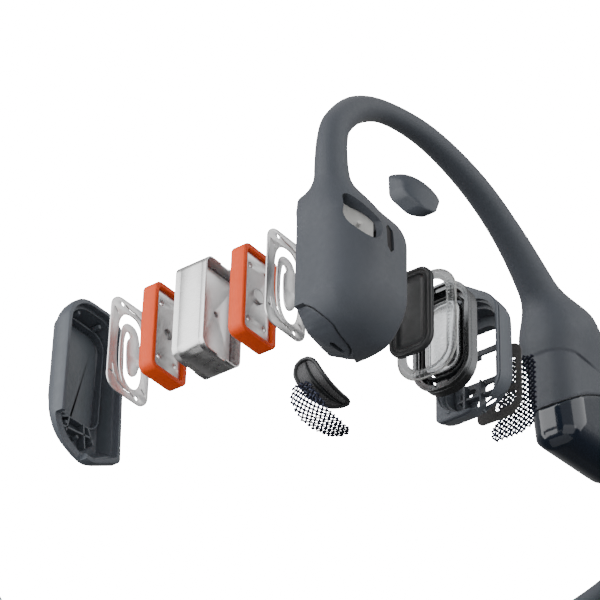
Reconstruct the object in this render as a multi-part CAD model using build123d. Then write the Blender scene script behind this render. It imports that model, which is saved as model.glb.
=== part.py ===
"""Bone conduction headphones with one ear unit opened out along its assembly axes.

Frame: millimetres, +X to the wearer's left, +Y rearward, +Z up.  The wearer faces -Y.
Origin: the middle of the line that joins the two ear saddles (under the hooks' crowns).

Each ear unit is drawn once, in its own unit frame, as the left unit:
  x = 0 on the plane where the skin cover meets the housing, +x away from the head,
  y = 0 and z = 0 on the axis of the bone driver.
The right unit is the mirror image, closed.  The left unit's loose pieces are drawn at the
places they have when they are drawn out of the pod.
"""
from build123d import *
import math
import os

# ------------------------------------------------------------------ driving dimensions (mm)
UNIT_ORIGIN = (60.0, -13.0, -28.6)   # the left unit frame in the headphones' frame

# Pod: the housing, with the skin cover on its inner side and the rear cover behind it.
POD_DEPTH = 10.8          # housing, across x
POD_FRONT = -5.7          # y of the front wall
POD_REAR = 5.7            # y of the rear wall
POD_TOP = 10.3            # z of the top
POD_BOTTOM = -15.4        # z of the lowest point
WALL = 0.9
COVER_DEPTH = 5.0         # skin cover, across x
REAR_COVER_DEPTH = 5.0    # rear cover, across y

# Bone driver: sections in y and z, thickness in x.
DRIVER_WIDTH, DRIVER_HEIGHT = 8.4, 15.6     # magnet case and springs
CASE_DEPTH = 5.7
CASE_WALL = 0.25
MAGNET_RECESS = 1.7                         # magnet face below each mouth of the case
COIL_WIDTH, COIL_HEIGHT, COIL_DEPTH = 7.7, 14.9, 2.5
COIL_BAND = 0.85
PLATE_THICKNESS = 0.6
SPRING_THICKNESS = 0.25

# Places of the driver's pieces along x (their inner faces) when the unit is closed.
INNER_SPRING_X = -3.3
INNER_COIL_X = -2.9
CASE_X = -2.1
OUTER_COIL_X = 1.9
OUTER_SPRING_X = 4.55

# How far each loose piece of the left unit is drawn out.
COVER_DRAW = 41.7
INNER_SPRING_DRAW = 31.7
INNER_COIL_DRAW = 26.6
CASE_DRAW = 21.0
OUTER_COIL_DRAW = 15.2
OUTER_SPRING_DRAW = 10.95
DIAPHRAGM_DRAW = 8.4
SURROUND_DRAW = 10.6
FRAME_DRAW = 13.6
REAR_COVER_DRAW = 21.0
OUTLET_PAD_DRAW = 25.0
OUTLET_GRILLE_DRAW = 28.0
MEMBRANE_DROP = 8.0
VENT_GRILLE_DROP = 12.0
BUTTON_DRAW = 9.0

# Air speaker: sections in x and z, thickness in y.
SPEAKER_X, SPEAKER_Z = 5.4, -1.8            # its centre
FRAME_WIDTH, FRAME_HEIGHT, FRAME_DEPTH = 9.5, 16.8, 2.6
SURROUND_DEPTH = 0.8
DIAPHRAGM_WIDTH, DIAPHRAGM_HEIGHT, DIAPHRAGM_DEPTH = 7.3, 14.0, 0.9
DIAPHRAGM_Y = 4.7
SURROUND_Y = 5.9
FRAME_Y = 6.9
PAD_Y = 9.95
OUTLET_GRILLE_Y = 10.3
SHEET_THICKNESS = 0.25

# Vent strip round the pod's lower front corner.
VENT_X0, VENT_X1 = -0.7, 4.3
VENT_THICKNESS = 0.35

# Ear hook: its centre line in the plane x = HOOK_X, as (y, z, diameter).
HOOK_X = 4.6
HOOK_STATIONS = [
    (-4.0, 8.6, 5.0), (-4.3, 13.3, 4.6), (-4.2, 17.8, 4.4), (-3.0, 21.6, 4.3),
    (1.2, 26.6, 4.1), (8.4, 30.6, 3.5), (19.0, 32.5, 3.8), (30.5, 31.0, 4.2),
    (40.0, 26.8, 4.7), (48.0, 20.8, 6.0), (52.5, 16.0, 7.0),
]
WIRE_DIAMETER = 0.8
WIRE_CLEARANCE = 0.1

# Battery pods behind the ears.
BATTERY_X0, BATTERY_X1 = 0.4, 9.0
BATTERY_FRONT, BATTERY_REAR = 46.8, 72.0
BATTERY_LOWER_FRONT = 50.0     # its front edge slants back towards the bottom
BATTERY_SPLIT_Z = 6.6
BATTERY_WALL = 1.0

# Keys under the right battery pod, as (y of the middle, z of the pressed face).
KEYS = {"power_button": (54.8, -4.9), "volume_button": (61.0, -4.45)}
KEY_LENGTH = 5.0
PORT_Z = 0.3              # height of the charging socket

# Neckband: half an ellipse behind the head, hinged to each arm by its own flexing.
BAND_DIAMETER = 3.8
BAND_HALF_WIDTH = UNIT_ORIGIN[0] + 4.7
BAND_REACH = 45.0
BAND_STEPS = 7
HINGE_STEP = 4            # the band's corner at which an arm starts to flex
HINGE_GAP = 0.5

EAR_TO_BAND_Z = 6.0       # z of the band in the unit frame

NODES = {}


# ------------------------------------------------------------------ helpers
def profile(corners, plane):
    """A closed outline of (u, v, radius) corners, as a face on the plane."""
    points = [(u, v) for u, v, _ in corners]
    radii = [r for _, _, r in corners]
    return plane * make_face(FilletPolyline(*points, radius=radii, close=True))


def prism_x(corners, x0, x1):
    """(y, z, radius) corners extruded from x0 to x1."""
    return extrude(profile(corners, Plane.YZ.offset(x0)), x1 - x0)


def prism_y(corners, y0, y1):
    """(x, z, radius) corners extruded from y0 to y1."""
    section = profile(corners, Plane.XZ.offset(-y0))
    return extrude(section, -(y1 - y0))


def prism_z(corners, z0, z1):
    """(x, y, radius) corners extruded from z0 to z1."""
    return extrude(profile(corners, Plane.XY.offset(z0)), z1 - z0)


def oblong(width, height, radius, cu=0.0, cv=0.0):
    """The corners of a rounded rectangle."""
    u, v = width / 2, height / 2
    return [(cu - u, cv - v, radius), (cu + u, cv - v, radius),
            (cu + u, cv + v, radius), (cu - u, cv + v, radius)]


def box(x0, x1, y0, y1, z0, z1):
    """A plain box between two corners."""
    size = Box(x1 - x0, y1 - y0, z1 - z0)
    return Pos((x0 + x1) / 2, (y0 + y1) / 2, (z0 + z1) / 2) * size


def rod_x(x0, x1, y, z, radius):
    """A cylinder along x."""
    return Pos((x0 + x1) / 2, y, z) * Rot(0, 90, 0) * Cylinder(radius, x1 - x0)


def rod_y(x, y0, y1, z, radius):
    """A cylinder along y."""
    return Pos(x, (y0 + y1) / 2, z) * Rot(90, 0, 0) * Cylinder(radius, y1 - y0)


def smooth_path(points):
    """Straight runs joined by tangent arcs, each as large as its two runs allow."""
    vectors = [Vector(*p) for p in points]
    radii = []
    for before, here, after in zip(vectors, vectors[1:], vectors[2:]):
        run_in, run_out = here - before, after - here
        half_turn = math.radians(run_in.get_angle(run_out)) / 2
        radii.append(0.45 * min(run_in.length, run_out.length) / math.tan(half_turn))
    return FilletPolyline(*vectors, radius=radii)


def tube(points, diameter):
    """A round bar along a path."""
    path = smooth_path(points)
    start = Plane(origin=path @ 0, z_dir=path % 0)
    return sweep(start * Circle(diameter / 2), path=path)


def placed(shape):
    """From the left unit's frame to the headphones' frame."""
    return Pos(*UNIT_ORIGIN) * shape


def add(name, shape, draw=(0, 0, 0)):
    """Keep a piece of the left unit, drawn out of the pod by draw."""
    NODES[name] = placed(Pos(*draw) * shape)


def add_right(name, *shapes):
    """Keep the mirror image of one or more closed pieces as a right-hand node."""
    mirrored = [mirror(placed(s), about=Plane.YZ) for s in shapes]
    NODES[name] = mirrored[0] if len(mirrored) == 1 else Compound(children=mirrored)


# ------------------------------------------------------------------ pod shells
def side_outline(inset=0.0):
    """The pod seen along x: straight front, rounded top, sweeping lower front corner."""
    front, rear = POD_FRONT + inset, POD_REAR - inset
    top = POD_TOP - inset
    return [(front, top, 4.0), (rear, top, 3.4), (rear, -13.4 + inset, 0.9),
            (0.8, POD_BOTTOM + inset, 3.0), (front, -14.2 + inset, 2.6)]


def end_outline(inset=0.0, inner=0.0):
    """The pod seen along y: flat inside, sloped outer shoulder, rounded bottom."""
    outer = POD_DEPTH - inset
    return [(inner, POD_BOTTOM - 1 + inset, 0), (2.4, POD_BOTTOM - 0.3 + inset, 2.0),
            (outer, -11.2 + inset, 6.8 - inset), (outer, 6.0 - inset, 6.4 - inset),
            (3.7, POD_TOP + 0.6 - inset, 0.8), (inner, POD_TOP + 0.6 - inset, 0)]


def plan_outline(inset=0.0, inner=0.0):
    """The pod seen along z: a wide round front outer corner, a crisp rear one."""
    outer = POD_DEPTH - inset
    front, rear = POD_FRONT + inset, POD_REAR - inset
    return [(inner, front, 0), (outer, front, 6.5 - inset), (outer, rear, 0.8), (inner, rear, 0)]


def pod_block(inset=0.0, inner=0.0):
    """The solid common to the pod's three outlines."""
    side = prism_x(side_outline(inset), inner, POD_DEPTH - inset)
    end = prism_y(end_outline(inset, inner), POD_FRONT - 1, POD_REAR + 1)
    plan = prism_z(plan_outline(inset, inner), POD_BOTTOM - 2, POD_TOP + 2)
    return side & end & plan


def vent_strip(thickness, depth, clearance=0.0):
    """A curved strip that follows the lower front corner at a depth below the surface."""
    outer = side_outline(depth - clearance)
    inner = side_outline(depth + thickness + clearance)
    shell = prism_x(outer, VENT_X0 - clearance, VENT_X1 + clearance)
    shell -= prism_x(inner, VENT_X0 - 1, VENT_X1 + 1)
    window = box(VENT_X0 - 1, VENT_X1 + 1, POD_FRONT - 1, 2.8 + clearance,
                 POD_BOTTOM - 1, -10.0 + clearance)
    return shell & window


def vent_seat():
    """The room that the two vent strips take in the housing and the skin cover."""
    return vent_strip(1.15, 0.0, clearance=0.12)


def button_recess(depth, inset=0.0):
    """The slanted oblong pocket for the button, cut from the outer side."""
    corners = [(-5.1 + inset, 6.8 - inset * 2, 0.5), (-5.1 + inset, 2.4, 1.4),
               (-3.2, -0.15 + inset, 1.2), (-1.1 - inset / 2, -0.1 + inset, 0.9),
               (-0.3 - inset, 2.8, 0.9), (-2.4 - inset / 2, 5.0 - inset, 2.0)]
    return prism_x(corners, depth, POD_DEPTH + 1)


def housing():
    """Outer shell of the pod: open to the skin cover and to the rear cover."""
    shell = pod_block() - pod_block(WALL, inner=-1)
    rear_opening = prism_y(oblong(8.2, 14.9, 2.6, SPEAKER_X, SPEAKER_Z), 3, 7)
    shell -= rear_opening
    shell -= button_recess(POD_DEPTH - 4.8)
    shell -= prism_x(oblong(1.1, 4.1, 0.54, 1.6, 1.8), 8, POD_DEPTH + 1)
    shell -= vent_seat()
    hook_mouth = Pos(HOOK_X, -3.9, 10) * Cylinder(1.0, 8)
    return shell - hook_mouth


def skin_cover():
    """Shallow tray that closes the pod on the skin side, with a locating lip and pocket."""
    outer = prism_x(side_outline(), -COVER_DEPTH, 0)
    rim = [e for e in outer.edges() if abs(e.center().X + COVER_DEPTH) < 0.01]
    outer = fillet(rim, 1.2)
    shell = outer - prism_x(side_outline(WALL), -COVER_DEPTH + WALL, 1)
    pocket = prism_x(oblong(9.3, 16.4, 2.3), -COVER_DEPTH + 0.5, -2.6)
    pocket -= prism_x(oblong(8.7, 15.9, 2.1), -COVER_DEPTH, 0)
    shell += pocket & prism_x(side_outline(0.3), -COVER_DEPTH + 0.5, 0)
    return shell - vent_seat()


def rear_cover():
    """Rear shell: stepped rim, four windows to the back, seat for the outlet grille."""
    y0 = POD_REAR + 0.05
    y1 = y0 + REAR_COVER_DEPTH
    outline = [(0.05, -13.3, 0.8), (5.5, -13.2, 4.0), (POD_DEPTH, -10.6, 3.4),
               (POD_DEPTH, 3.4, 3.0), (7.2, 9.4, 1.6), (0.05, 9.2, 2.2)]
    outer = prism_y(outline, y0, y1)
    back = [e for e in outer.edges() if abs(e.center().Y - y1) < 0.01]
    outer = fillet(back, 0.7)
    shell = outer - prism_y(oblong(9.8, 17.1, 4.2, SPEAKER_X, SPEAKER_Z), y0 - 1, y1 - 1.2)
    shell -= prism_y(oblong(10.2, 17.5, 4.4, SPEAKER_X, SPEAKER_Z), y0 - 1, y0 + 0.6)
    for z, height in ((4.2, 2.8), (-0.4, 2.6), (-4.6, 2.6), (-8.2, 1.8)):
        shell -= prism_y(oblong(5.0, height, 0.8, SPEAKER_X, z), y0 - 1, y1 + 1)
    return shell - outlet_sheet(y1 - 0.85, 1.5, grow=0.2)


def outlet_sheet(y0, thickness, grow=0.0):
    """A hooked strip: upright at the outer side, turning inwards at its foot."""
    g = grow
    corners = [(5.0 - g, 2.8 + g, 1.2), (9.4 + g, 2.8 + g, 1.6), (9.4 + g, -9.4 - g, 3.0),
               (1.6 - g, -9.4 - g, 1.2), (1.6 - g, -6.4 + g, 1.2), (5.0 - g, -6.4 + g, 0.8)]
    return prism_y(corners, y0, y0 + thickness)


# ------------------------------------------------------------------ bone driver
def spring_plate(x):
    """Flat suspension spring with spiral slits round an oval tongue."""
    plate = prism_x(oblong(DRIVER_WIDTH, DRIVER_HEIGHT, 2.1), x, x + SPRING_THICKNESS)
    slit = prism_x(oblong(5.6, 11.6, 2.4), x - 1, x + 1)
    slit -= prism_x(oblong(4.8, 10.8, 2.0), x - 2, x + 2)
    slit -= box(x - 2, x + 2, -1.2, 3.0, 4.6, 7.0)
    slit -= box(x - 2, x + 2, -3.0, 1.2, -7.0, -4.6)
    tongue = prism_x(oblong(2.9, 7.6, 1.4), x - 1, x + 1)
    tongue -= prism_x(oblong(2.2, 6.9, 1.05), x - 2, x + 2)
    tongue -= box(x - 2, x + 2, -1.6, 0.4, -4.2, -3.0)
    plate -= slit
    plate -= tongue
    for side in (-1, 1):
        plate -= box(x - 1, x + 1, side * 4.4 - 0.7, side * 4.4 + 0.7, -0.35, 0.35)
        plate -= box(x - 1, x + 1, -0.9, 0.9, side * 7.95 - 0.4, side * 7.95 + 0.4)
    return plate


def coil_ring(x):
    """Rounded rectangular voice coil."""
    ring = prism_x(oblong(COIL_WIDTH, COIL_HEIGHT, 1.3), x, x + COIL_DEPTH)
    bore_width = COIL_WIDTH - 2 * COIL_BAND
    bore_height = COIL_HEIGHT - 2 * COIL_BAND
    return ring - prism_x(oblong(bore_width, bore_height, 0.6), x - 1, x + COIL_DEPTH + 1)


def pole_plate(x, boss):
    """Steel plate near a coil's outer mouth, with four screw holes and a hole or a boss."""
    gap = 0.06
    width = COIL_WIDTH - 2 * COIL_BAND - 2 * gap
    height = COIL_HEIGHT - 2 * COIL_BAND - 2 * gap
    x1 = x + COIL_DEPTH - 0.55
    x0 = x1 - PLATE_THICKNESS
    plate = prism_x(oblong(width, height, 0.5), x0, x1)
    for sy in (-1, 1):
        for sz in (-1, 1):
            plate -= rod_x(x0 - 1, x1 + 1, sy * 1.9, sz * 4.6, 0.32)
    if boss:
        return plate + rod_x(x1 - 0.1, x1 + 0.45, 0, 0, 1.1)
    return plate - rod_x(x0 - 1, x1 + 1, 0, 0, 0.75)


def magnet_case(x):
    """Thin steel sleeve, open at both mouths, notched at its rims."""
    case = prism_x(oblong(DRIVER_WIDTH, DRIVER_HEIGHT, 1.5), x, x + CASE_DEPTH)
    bore = oblong(DRIVER_WIDTH - 2 * CASE_WALL, DRIVER_HEIGHT - 2 * CASE_WALL, 1.25)
    case -= prism_x(bore, x - 1, x + CASE_DEPTH + 1)
    for mouth in (x, x + CASE_DEPTH):
        case -= box(mouth - 0.3, mouth + 0.3, -1.0, 1.0, -8, 8)
    return case


def magnet(x):
    """Block magnet filling the middle of the case."""
    gap = 0.03
    width = DRIVER_WIDTH - 2 * CASE_WALL - 2 * gap
    height = DRIVER_HEIGHT - 2 * CASE_WALL - 2 * gap
    x0, x1 = x + MAGNET_RECESS + 0.05, x + CASE_DEPTH - MAGNET_RECESS - 0.05
    return prism_x(oblong(width, height, 1.2), x0, x1)


# ------------------------------------------------------------------ air speaker
def diaphragm():
    """Dished moving face in a round-edged frame."""
    y = DIAPHRAGM_Y
    corners = oblong(DIAPHRAGM_WIDTH, DIAPHRAGM_HEIGHT, 2.4, SPEAKER_X, SPEAKER_Z)
    dish = oblong(DIAPHRAGM_WIDTH - 2.2, DIAPHRAGM_HEIGHT - 2.2, 1.5, SPEAKER_X, SPEAKER_Z)
    return prism_y(corners, y, y + DIAPHRAGM_DEPTH) - prism_y(dish, y - 1, y + 0.5)


def surround():
    """Clear flexible ring that carries the diaphragm on the speaker's frame."""
    y = SURROUND_Y
    ring = prism_y(oblong(9.5, 16.8, 4.1, SPEAKER_X, SPEAKER_Z), y, y + SURROUND_DEPTH)
    return ring - prism_y(oblong(6.4, 13.6, 2.6, SPEAKER_X, SPEAKER_Z), y - 1, y + 2)


def speaker_frame():
    """Basket with a clipped rim and an open floor that holds the magnet."""
    y = FRAME_Y
    corners = oblong(FRAME_WIDTH, FRAME_HEIGHT, 4.1, SPEAKER_X, SPEAKER_Z)
    basket = prism_y(corners, y, y + FRAME_DEPTH)
    bore = oblong(FRAME_WIDTH - 1.2, FRAME_HEIGHT - 1.2, 3.5, SPEAKER_X, SPEAKER_Z)
    basket -= prism_y(bore, y - 1, y + FRAME_DEPTH - 0.5)
    for dz in (-6.6, 6.6):
        basket -= prism_y(oblong(2.6, 1.0, 0.3, SPEAKER_X, SPEAKER_Z + dz), y, y + 4)
    return basket


def speaker_magnet():
    """Oval plated magnet on the floor of the basket."""
    y = FRAME_Y + 0.7
    corners = oblong(4.4, 10.2, 1.7, SPEAKER_X, SPEAKER_Z)
    return prism_y(corners, y, FRAME_Y + FRAME_DEPTH - 0.55)


def speaker_coil():
    """Oval voice coil round the magnet."""
    y = FRAME_Y + 0.3
    ring = prism_y(oblong(6.4, 12.2, 2.5, SPEAKER_X, SPEAKER_Z), y, y + 1.5)
    return ring - prism_y(oblong(4.9, 10.7, 1.9, SPEAKER_X, SPEAKER_Z), y - 1, y + 3)


# ------------------------------------------------------------------ button and microphone
def button_cap():
    """Wedge-shaped key that fills the recess."""
    return button_recess(POD_DEPTH - 3.55, inset=0.25) & pod_block(-0.1)


def button_seal():
    """Soft pad under the key, a press stroke below it."""
    pad = button_recess(POD_DEPTH - 4.35, inset=0.35) & pod_block(WALL)
    return pad & box(0, POD_DEPTH - 3.9, -8, 8, -8, 12)


def button_bracket():
    """Bright carrier plate at the bottom of the recess, with two bosses for the switch."""
    plate = prism_x(oblong(5.2, 6.4, 0.8, -2.4, 3.2), 4.95, 5.5)
    plate += rod_x(5.4, 6.0, -3.2, 4.4, 0.5)
    plate += rod_x(5.4, 6.0, -2.0, 2.2, 0.6)
    return plate & pod_block(WALL + 0.05)


def microphone():
    """Slim microphone port insert behind the slot."""
    return box(8.2, 9.5, 0.9, 2.3, -0.2, 3.8)


# ------------------------------------------------------------------ hook, battery pod
def hook_points():
    """Centre line of the hook as points."""
    return [(HOOK_X, y, z) for y, z, _ in HOOK_STATIONS]


def ear_hook():
    """Tapered silicone hook from the pod's top to the battery pod, bored for its wire."""
    points = [Vector(*p) for p in hook_points()]
    sections = []
    for i, (_, _, diameter) in enumerate(HOOK_STATIONS):
        before = points[max(i - 1, 0)]
        after = points[min(i + 1, len(points) - 1)]
        here = Plane(origin=points[i], z_dir=(after - before), x_dir=(1, 0, 0))
        sections.append(here * Circle(diameter / 2))
    sleeve = loft(sections)
    sleeve -= pod_block(-0.02, inner=-0.5)
    sleeve -= battery_block()
    return sleeve - tube(hook_points(), WIRE_DIAMETER + 2 * WIRE_CLEARANCE)


def battery_block(inset=0.0):
    """The battery pod's outer form: deep in front, narrowing towards the neckband."""
    side = [(BATTERY_LOWER_FRONT + inset, -4.6 + inset, 2.5), (68.0, -3.4 + inset, 6.0),
            (BATTERY_REAR - inset, 4.0, 1.5), (BATTERY_REAR - inset, 8.4, 1.5),
            (66.0, 17.0 - inset, 7.0), (54.0, 20.6 - inset, 5.0), (BATTERY_FRONT + inset, 14.6, 4.0)]
    x0, x1 = BATTERY_X0 + inset, BATTERY_X1 - inset
    plan = [(x0, BATTERY_FRONT + inset, 3.0 - inset), (x1, BATTERY_FRONT + inset, 3.0 - inset),
            (x1, 67.0, 6.0), (HOOK_X + 2.4, BATTERY_REAR - inset, 1.0),
            (HOOK_X - 2.4, BATTERY_REAR - inset, 1.0), (x0, 67.0, 6.0)]
    return prism_x(side, x0, x1) & prism_z(plan, -8, 24)


def battery_shells():
    """Upper silicone shell and lower glossy tray of the battery pod."""
    hollow = battery_block(BATTERY_WALL)
    shell = battery_block() - hollow
    lower_room = box(-2, 12, 40, 80, -10, BATTERY_SPLIT_Z)
    upper_room = box(-2, 12, 40, 80, BATTERY_SPLIT_Z + 0.02, 30)
    wire_mouth = tube(hook_points()[-3:], WIRE_DIAMETER + 2 * WIRE_CLEARANCE)
    band_mouth = rod_y(HOOK_X, 69, 74, EAR_TO_BAND_Z, 0.7)
    upper = (shell & upper_room) - wire_mouth - band_mouth
    return upper, (shell & lower_room) - band_mouth


def battery_cell():
    """Pouch cell."""
    return prism_x([(51.2, -1.5, 1.0), (64.8, -1.5, 1.0), (64.8, 12.0, 1.0),
                    (51.2, 12.0, 1.0)], 2.2, 7.2)


def circuit_board():
    """Main board beside the right battery pod's keys."""
    return prism_x([(51.2, -2.4, 0.5), (64.0, -2.4, 0.5), (64.0, 12.0, 0.5),
                    (51.2, 12.0, 0.5)], 2.2, 3.0)


def charging_port():
    """Plated socket shell with its tongue, in the right battery pod's lower rear face."""
    shell = prism_y(oblong(4.9, 2.5, 1.2, HOOK_X, PORT_Z), 65.4, 67.8)
    shell -= prism_y(oblong(4.4, 2.0, 0.95, HOOK_X, PORT_Z), 65.8, 69)
    return shell + box(HOOK_X - 1.5, HOOK_X + 1.5, 65.6, 67.4, PORT_Z - 0.3, PORT_Z + 0.3)


# ------------------------------------------------------------------ neckband
def band_points():
    """The right half of the neckband, from the battery pod to behind the neck."""
    y0 = UNIT_ORIGIN[1] + BATTERY_REAR
    z = UNIT_ORIGIN[2] + EAR_TO_BAND_Z
    points = []
    for step in range(BAND_STEPS + 1):
        angle = math.pi / 2 * step / BAND_STEPS
        points.append((BAND_HALF_WIDTH * math.cos(angle), y0 + BAND_REACH * math.sin(angle), z))
    return points


def band_piece(diameter, bore, points):
    """A length of the band's sleeve, bored for its wire."""
    return tube(points, diameter) - tube(points, bore)


def mirrored_points(points):
    """The same route on the other side of the head."""
    return [(-x, y, z) for x, y, z in reversed(points)]


def shortened(points, gap):
    """The route with its last run cut short by gap."""
    last, before = Vector(*points[-1]), Vector(*points[-2])
    end = last + (before - last).normalized() * gap
    return points[:-1] + [tuple(end)]


def make_neckband():
    """Middle of the band, and the two stretches that swing with the arms."""
    points = band_points()
    bore = WIRE_DIAMETER + 2 * WIRE_CLEARANCE
    arm = shortened(points[:HINGE_STEP + 1], HINGE_GAP)
    middle = points[HINGE_STEP:-1]
    route = sorted(mirrored_points(middle) + middle)
    NODES["neckband_sleeve"] = band_piece(BAND_DIAMETER, bore, route)
    NODES["neckband_wire"] = tube(route, WIRE_DIAMETER)
    sleeve = band_piece(BAND_DIAMETER, bore, arm) - placed(battery_block(-0.02))
    wire = tube(arm, WIRE_DIAMETER)
    NODES["left_band_sleeve"] = sleeve
    NODES["left_band_wire"] = wire
    NODES["right_band_sleeve"] = mirror(sleeve, about=Plane.YZ)
    NODES["right_band_wire"] = mirror(wire, about=Plane.YZ)


# ------------------------------------------------------------------ assembly
def make_left_unit():
    """The left ear unit, with its pieces drawn out of the pod."""
    add("left_housing", housing())
    add("left_ear_hook", ear_hook())
    add("left_hook_wire", tube(hook_points(), WIRE_DIAMETER))
    add("left_skin_cover", skin_cover(), (-COVER_DRAW, 0, 0))
    add("left_spring_inner", spring_plate(INNER_SPRING_X), (-INNER_SPRING_DRAW, 0, 0))
    add("left_coil_inner", coil_ring(INNER_COIL_X), (-INNER_COIL_DRAW, 0, 0))
    add("left_plate_inner", pole_plate(INNER_COIL_X, boss=False), (-INNER_COIL_DRAW, 0, 0))
    add("left_magnet_case", magnet_case(CASE_X), (-CASE_DRAW, 0, 0))
    add("left_magnet", magnet(CASE_X), (-CASE_DRAW, 0, 0))
    add("left_coil_outer", coil_ring(OUTER_COIL_X), (-OUTER_COIL_DRAW, 0, 0))
    add("left_plate_outer", pole_plate(OUTER_COIL_X, boss=True), (-OUTER_COIL_DRAW, 0, 0))
    add("left_spring_outer", spring_plate(OUTER_SPRING_X), (-OUTER_SPRING_DRAW, 0, 0))
    add("left_speaker_diaphragm", diaphragm(), (0, DIAPHRAGM_DRAW, 0))
    add("left_speaker_surround", surround(), (0, SURROUND_DRAW, 0))
    add("left_speaker_frame", speaker_frame(), (0, FRAME_DRAW, 0))
    add("left_speaker_magnet", speaker_magnet(), (0, FRAME_DRAW, 0))
    add("left_speaker_coil", speaker_coil(), (0, FRAME_DRAW, 0))
    add("left_rear_cover", rear_cover(), (0, REAR_COVER_DRAW, 0))
    pad = outlet_sheet(PAD_Y, SHEET_THICKNESS)
    grille = outlet_sheet(OUTLET_GRILLE_Y, SHEET_THICKNESS)
    add("left_outlet_pad", pad, (0, OUTLET_PAD_DRAW, 0))
    add("left_outlet_grille", grille, (0, OUTLET_GRILLE_DRAW, 0))
    add("left_vent_membrane", vent_strip(VENT_THICKNESS, 0.6), (0, 0, -MEMBRANE_DROP))
    add("left_vent_grille", vent_strip(VENT_THICKNESS, 0.1), (0, 0, -VENT_GRILLE_DROP))
    add("left_button_cap", button_cap(), (BUTTON_DRAW, 0, 0))
    add("left_button_seal", button_seal(), (BUTTON_DRAW, 0, 0))
    add("left_button_bracket", button_bracket())
    add("left_microphone", microphone())
    upper, lower = battery_shells()
    add("left_battery_upper", upper)
    add("left_battery_lower", lower)
    add("left_battery_cell", battery_cell())


def make_right_unit():
    """The right ear unit, closed."""
    add_right("right_housing", housing())
    add_right("right_ear_hook", ear_hook())
    add_right("right_hook_wire", tube(hook_points(), WIRE_DIAMETER))
    add_right("right_skin_cover", Pos(-0.02, 0, 0) * skin_cover())
    add_right("right_springs", spring_plate(INNER_SPRING_X), spring_plate(OUTER_SPRING_X))
    add_right("right_coils", coil_ring(INNER_COIL_X), coil_ring(OUTER_COIL_X))
    add_right("right_plates", pole_plate(INNER_COIL_X, False), pole_plate(OUTER_COIL_X, True))
    add_right("right_magnet_case", magnet_case(CASE_X))
    add_right("right_magnet", magnet(CASE_X))
    add_right("right_speaker_diaphragm", diaphragm())
    add_right("right_speaker_surround", surround())
    add_right("right_speaker_frame", speaker_frame())
    add_right("right_speaker_magnet", speaker_magnet())
    add_right("right_speaker_coil", speaker_coil())
    add_right("right_rear_cover", rear_cover())
    add_right("right_mesh_backings", outlet_sheet(PAD_Y, SHEET_THICKNESS),
              vent_strip(VENT_THICKNESS, 0.6))
    add_right("right_wire_grilles", outlet_sheet(OUTLET_GRILLE_Y, SHEET_THICKNESS),
              vent_strip(VENT_THICKNESS, 0.1))
    add_right("right_microphone", microphone())
    upper, lower = battery_shells()
    for y, _ in KEYS.values():
        lower -= box(3.2, 6.2, y - KEY_LENGTH / 2 - 0.2, y + KEY_LENGTH / 2 + 0.2, -7, -1)
    port_mouth = prism_y(oblong(5.4, 3.0, 1.4, HOOK_X, PORT_Z), 66.0, 75.0)
    add_right("right_battery_upper", upper)
    add_right("right_battery_lower", lower - port_mouth)
    add_right("charging_port", charging_port())
    add_right("right_battery_cell", Pos(0.6, 0, 0) * battery_cell())
    add_right("right_circuit_board", Pos(-0.4, 0, 0) * circuit_board())


def make_keys():
    """Power and volume keys under the right battery pod."""
    for name, (y, z) in KEYS.items():
        add_right(name, prism_z([(3.4, y - KEY_LENGTH / 2, 0.8), (6.0, y - KEY_LENGTH / 2, 0.8),
                                 (6.0, y + KEY_LENGTH / 2, 0.8), (3.4, y + KEY_LENGTH / 2, 0.8)],
                                z, z + 1.8))


if __name__ == "__main__":
    make_left_unit()
    make_right_unit()
    make_keys()
    make_neckband()
    os.makedirs("parts", exist_ok=True)
    for node, shape in NODES.items():
        export_step(shape, f"parts/{node}.step")
    print(len(NODES), "nodes written")
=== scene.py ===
"""Looks for the bone conduction headphones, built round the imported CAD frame.

Pieces are drawn in millimetres in the unit frame that the CAD model uses for the left ear
unit (x = 0 on the plane where the skin cover meets the housing, y = z = 0 on the bone
driver's axis), then placed in metres.  The right unit is the mirror image.
"""
import math

import bmesh
import bpy
import numpy as np
import openvdb
from mathutils import Matrix, Vector


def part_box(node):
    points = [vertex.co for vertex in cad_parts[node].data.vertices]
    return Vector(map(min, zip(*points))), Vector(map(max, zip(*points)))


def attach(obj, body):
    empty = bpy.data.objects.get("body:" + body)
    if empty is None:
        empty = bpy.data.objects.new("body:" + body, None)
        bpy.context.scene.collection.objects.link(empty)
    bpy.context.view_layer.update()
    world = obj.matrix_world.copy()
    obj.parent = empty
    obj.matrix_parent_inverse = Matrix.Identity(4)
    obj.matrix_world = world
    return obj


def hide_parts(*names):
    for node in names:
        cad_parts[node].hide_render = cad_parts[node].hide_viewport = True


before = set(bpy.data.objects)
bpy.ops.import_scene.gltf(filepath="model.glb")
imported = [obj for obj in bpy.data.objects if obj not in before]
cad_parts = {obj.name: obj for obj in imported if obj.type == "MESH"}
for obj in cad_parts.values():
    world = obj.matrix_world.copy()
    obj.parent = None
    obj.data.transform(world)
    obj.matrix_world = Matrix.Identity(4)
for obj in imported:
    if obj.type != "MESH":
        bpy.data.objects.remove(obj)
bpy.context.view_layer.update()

MM = 0.001

# ------------------------------------------------------------------ the unit frame
POD_TOP, POD_FRONT, POD_REAR = 10.3, -5.7, 5.7
POD_BOTTOM, POD_DEPTH = -15.4, 10.8
POD_NOSE = 0.4                # how far the looks reach in front of the CAD pod
SPEAKER_X, SPEAKER_Z = 5.4, -1.8
HOOK_X = 4.6
housing_low, housing_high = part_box("left_housing")
UNIT = Vector((housing_low.x, (housing_low.y + housing_high.y) / 2,
               housing_high.z - POD_TOP * MM))


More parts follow.
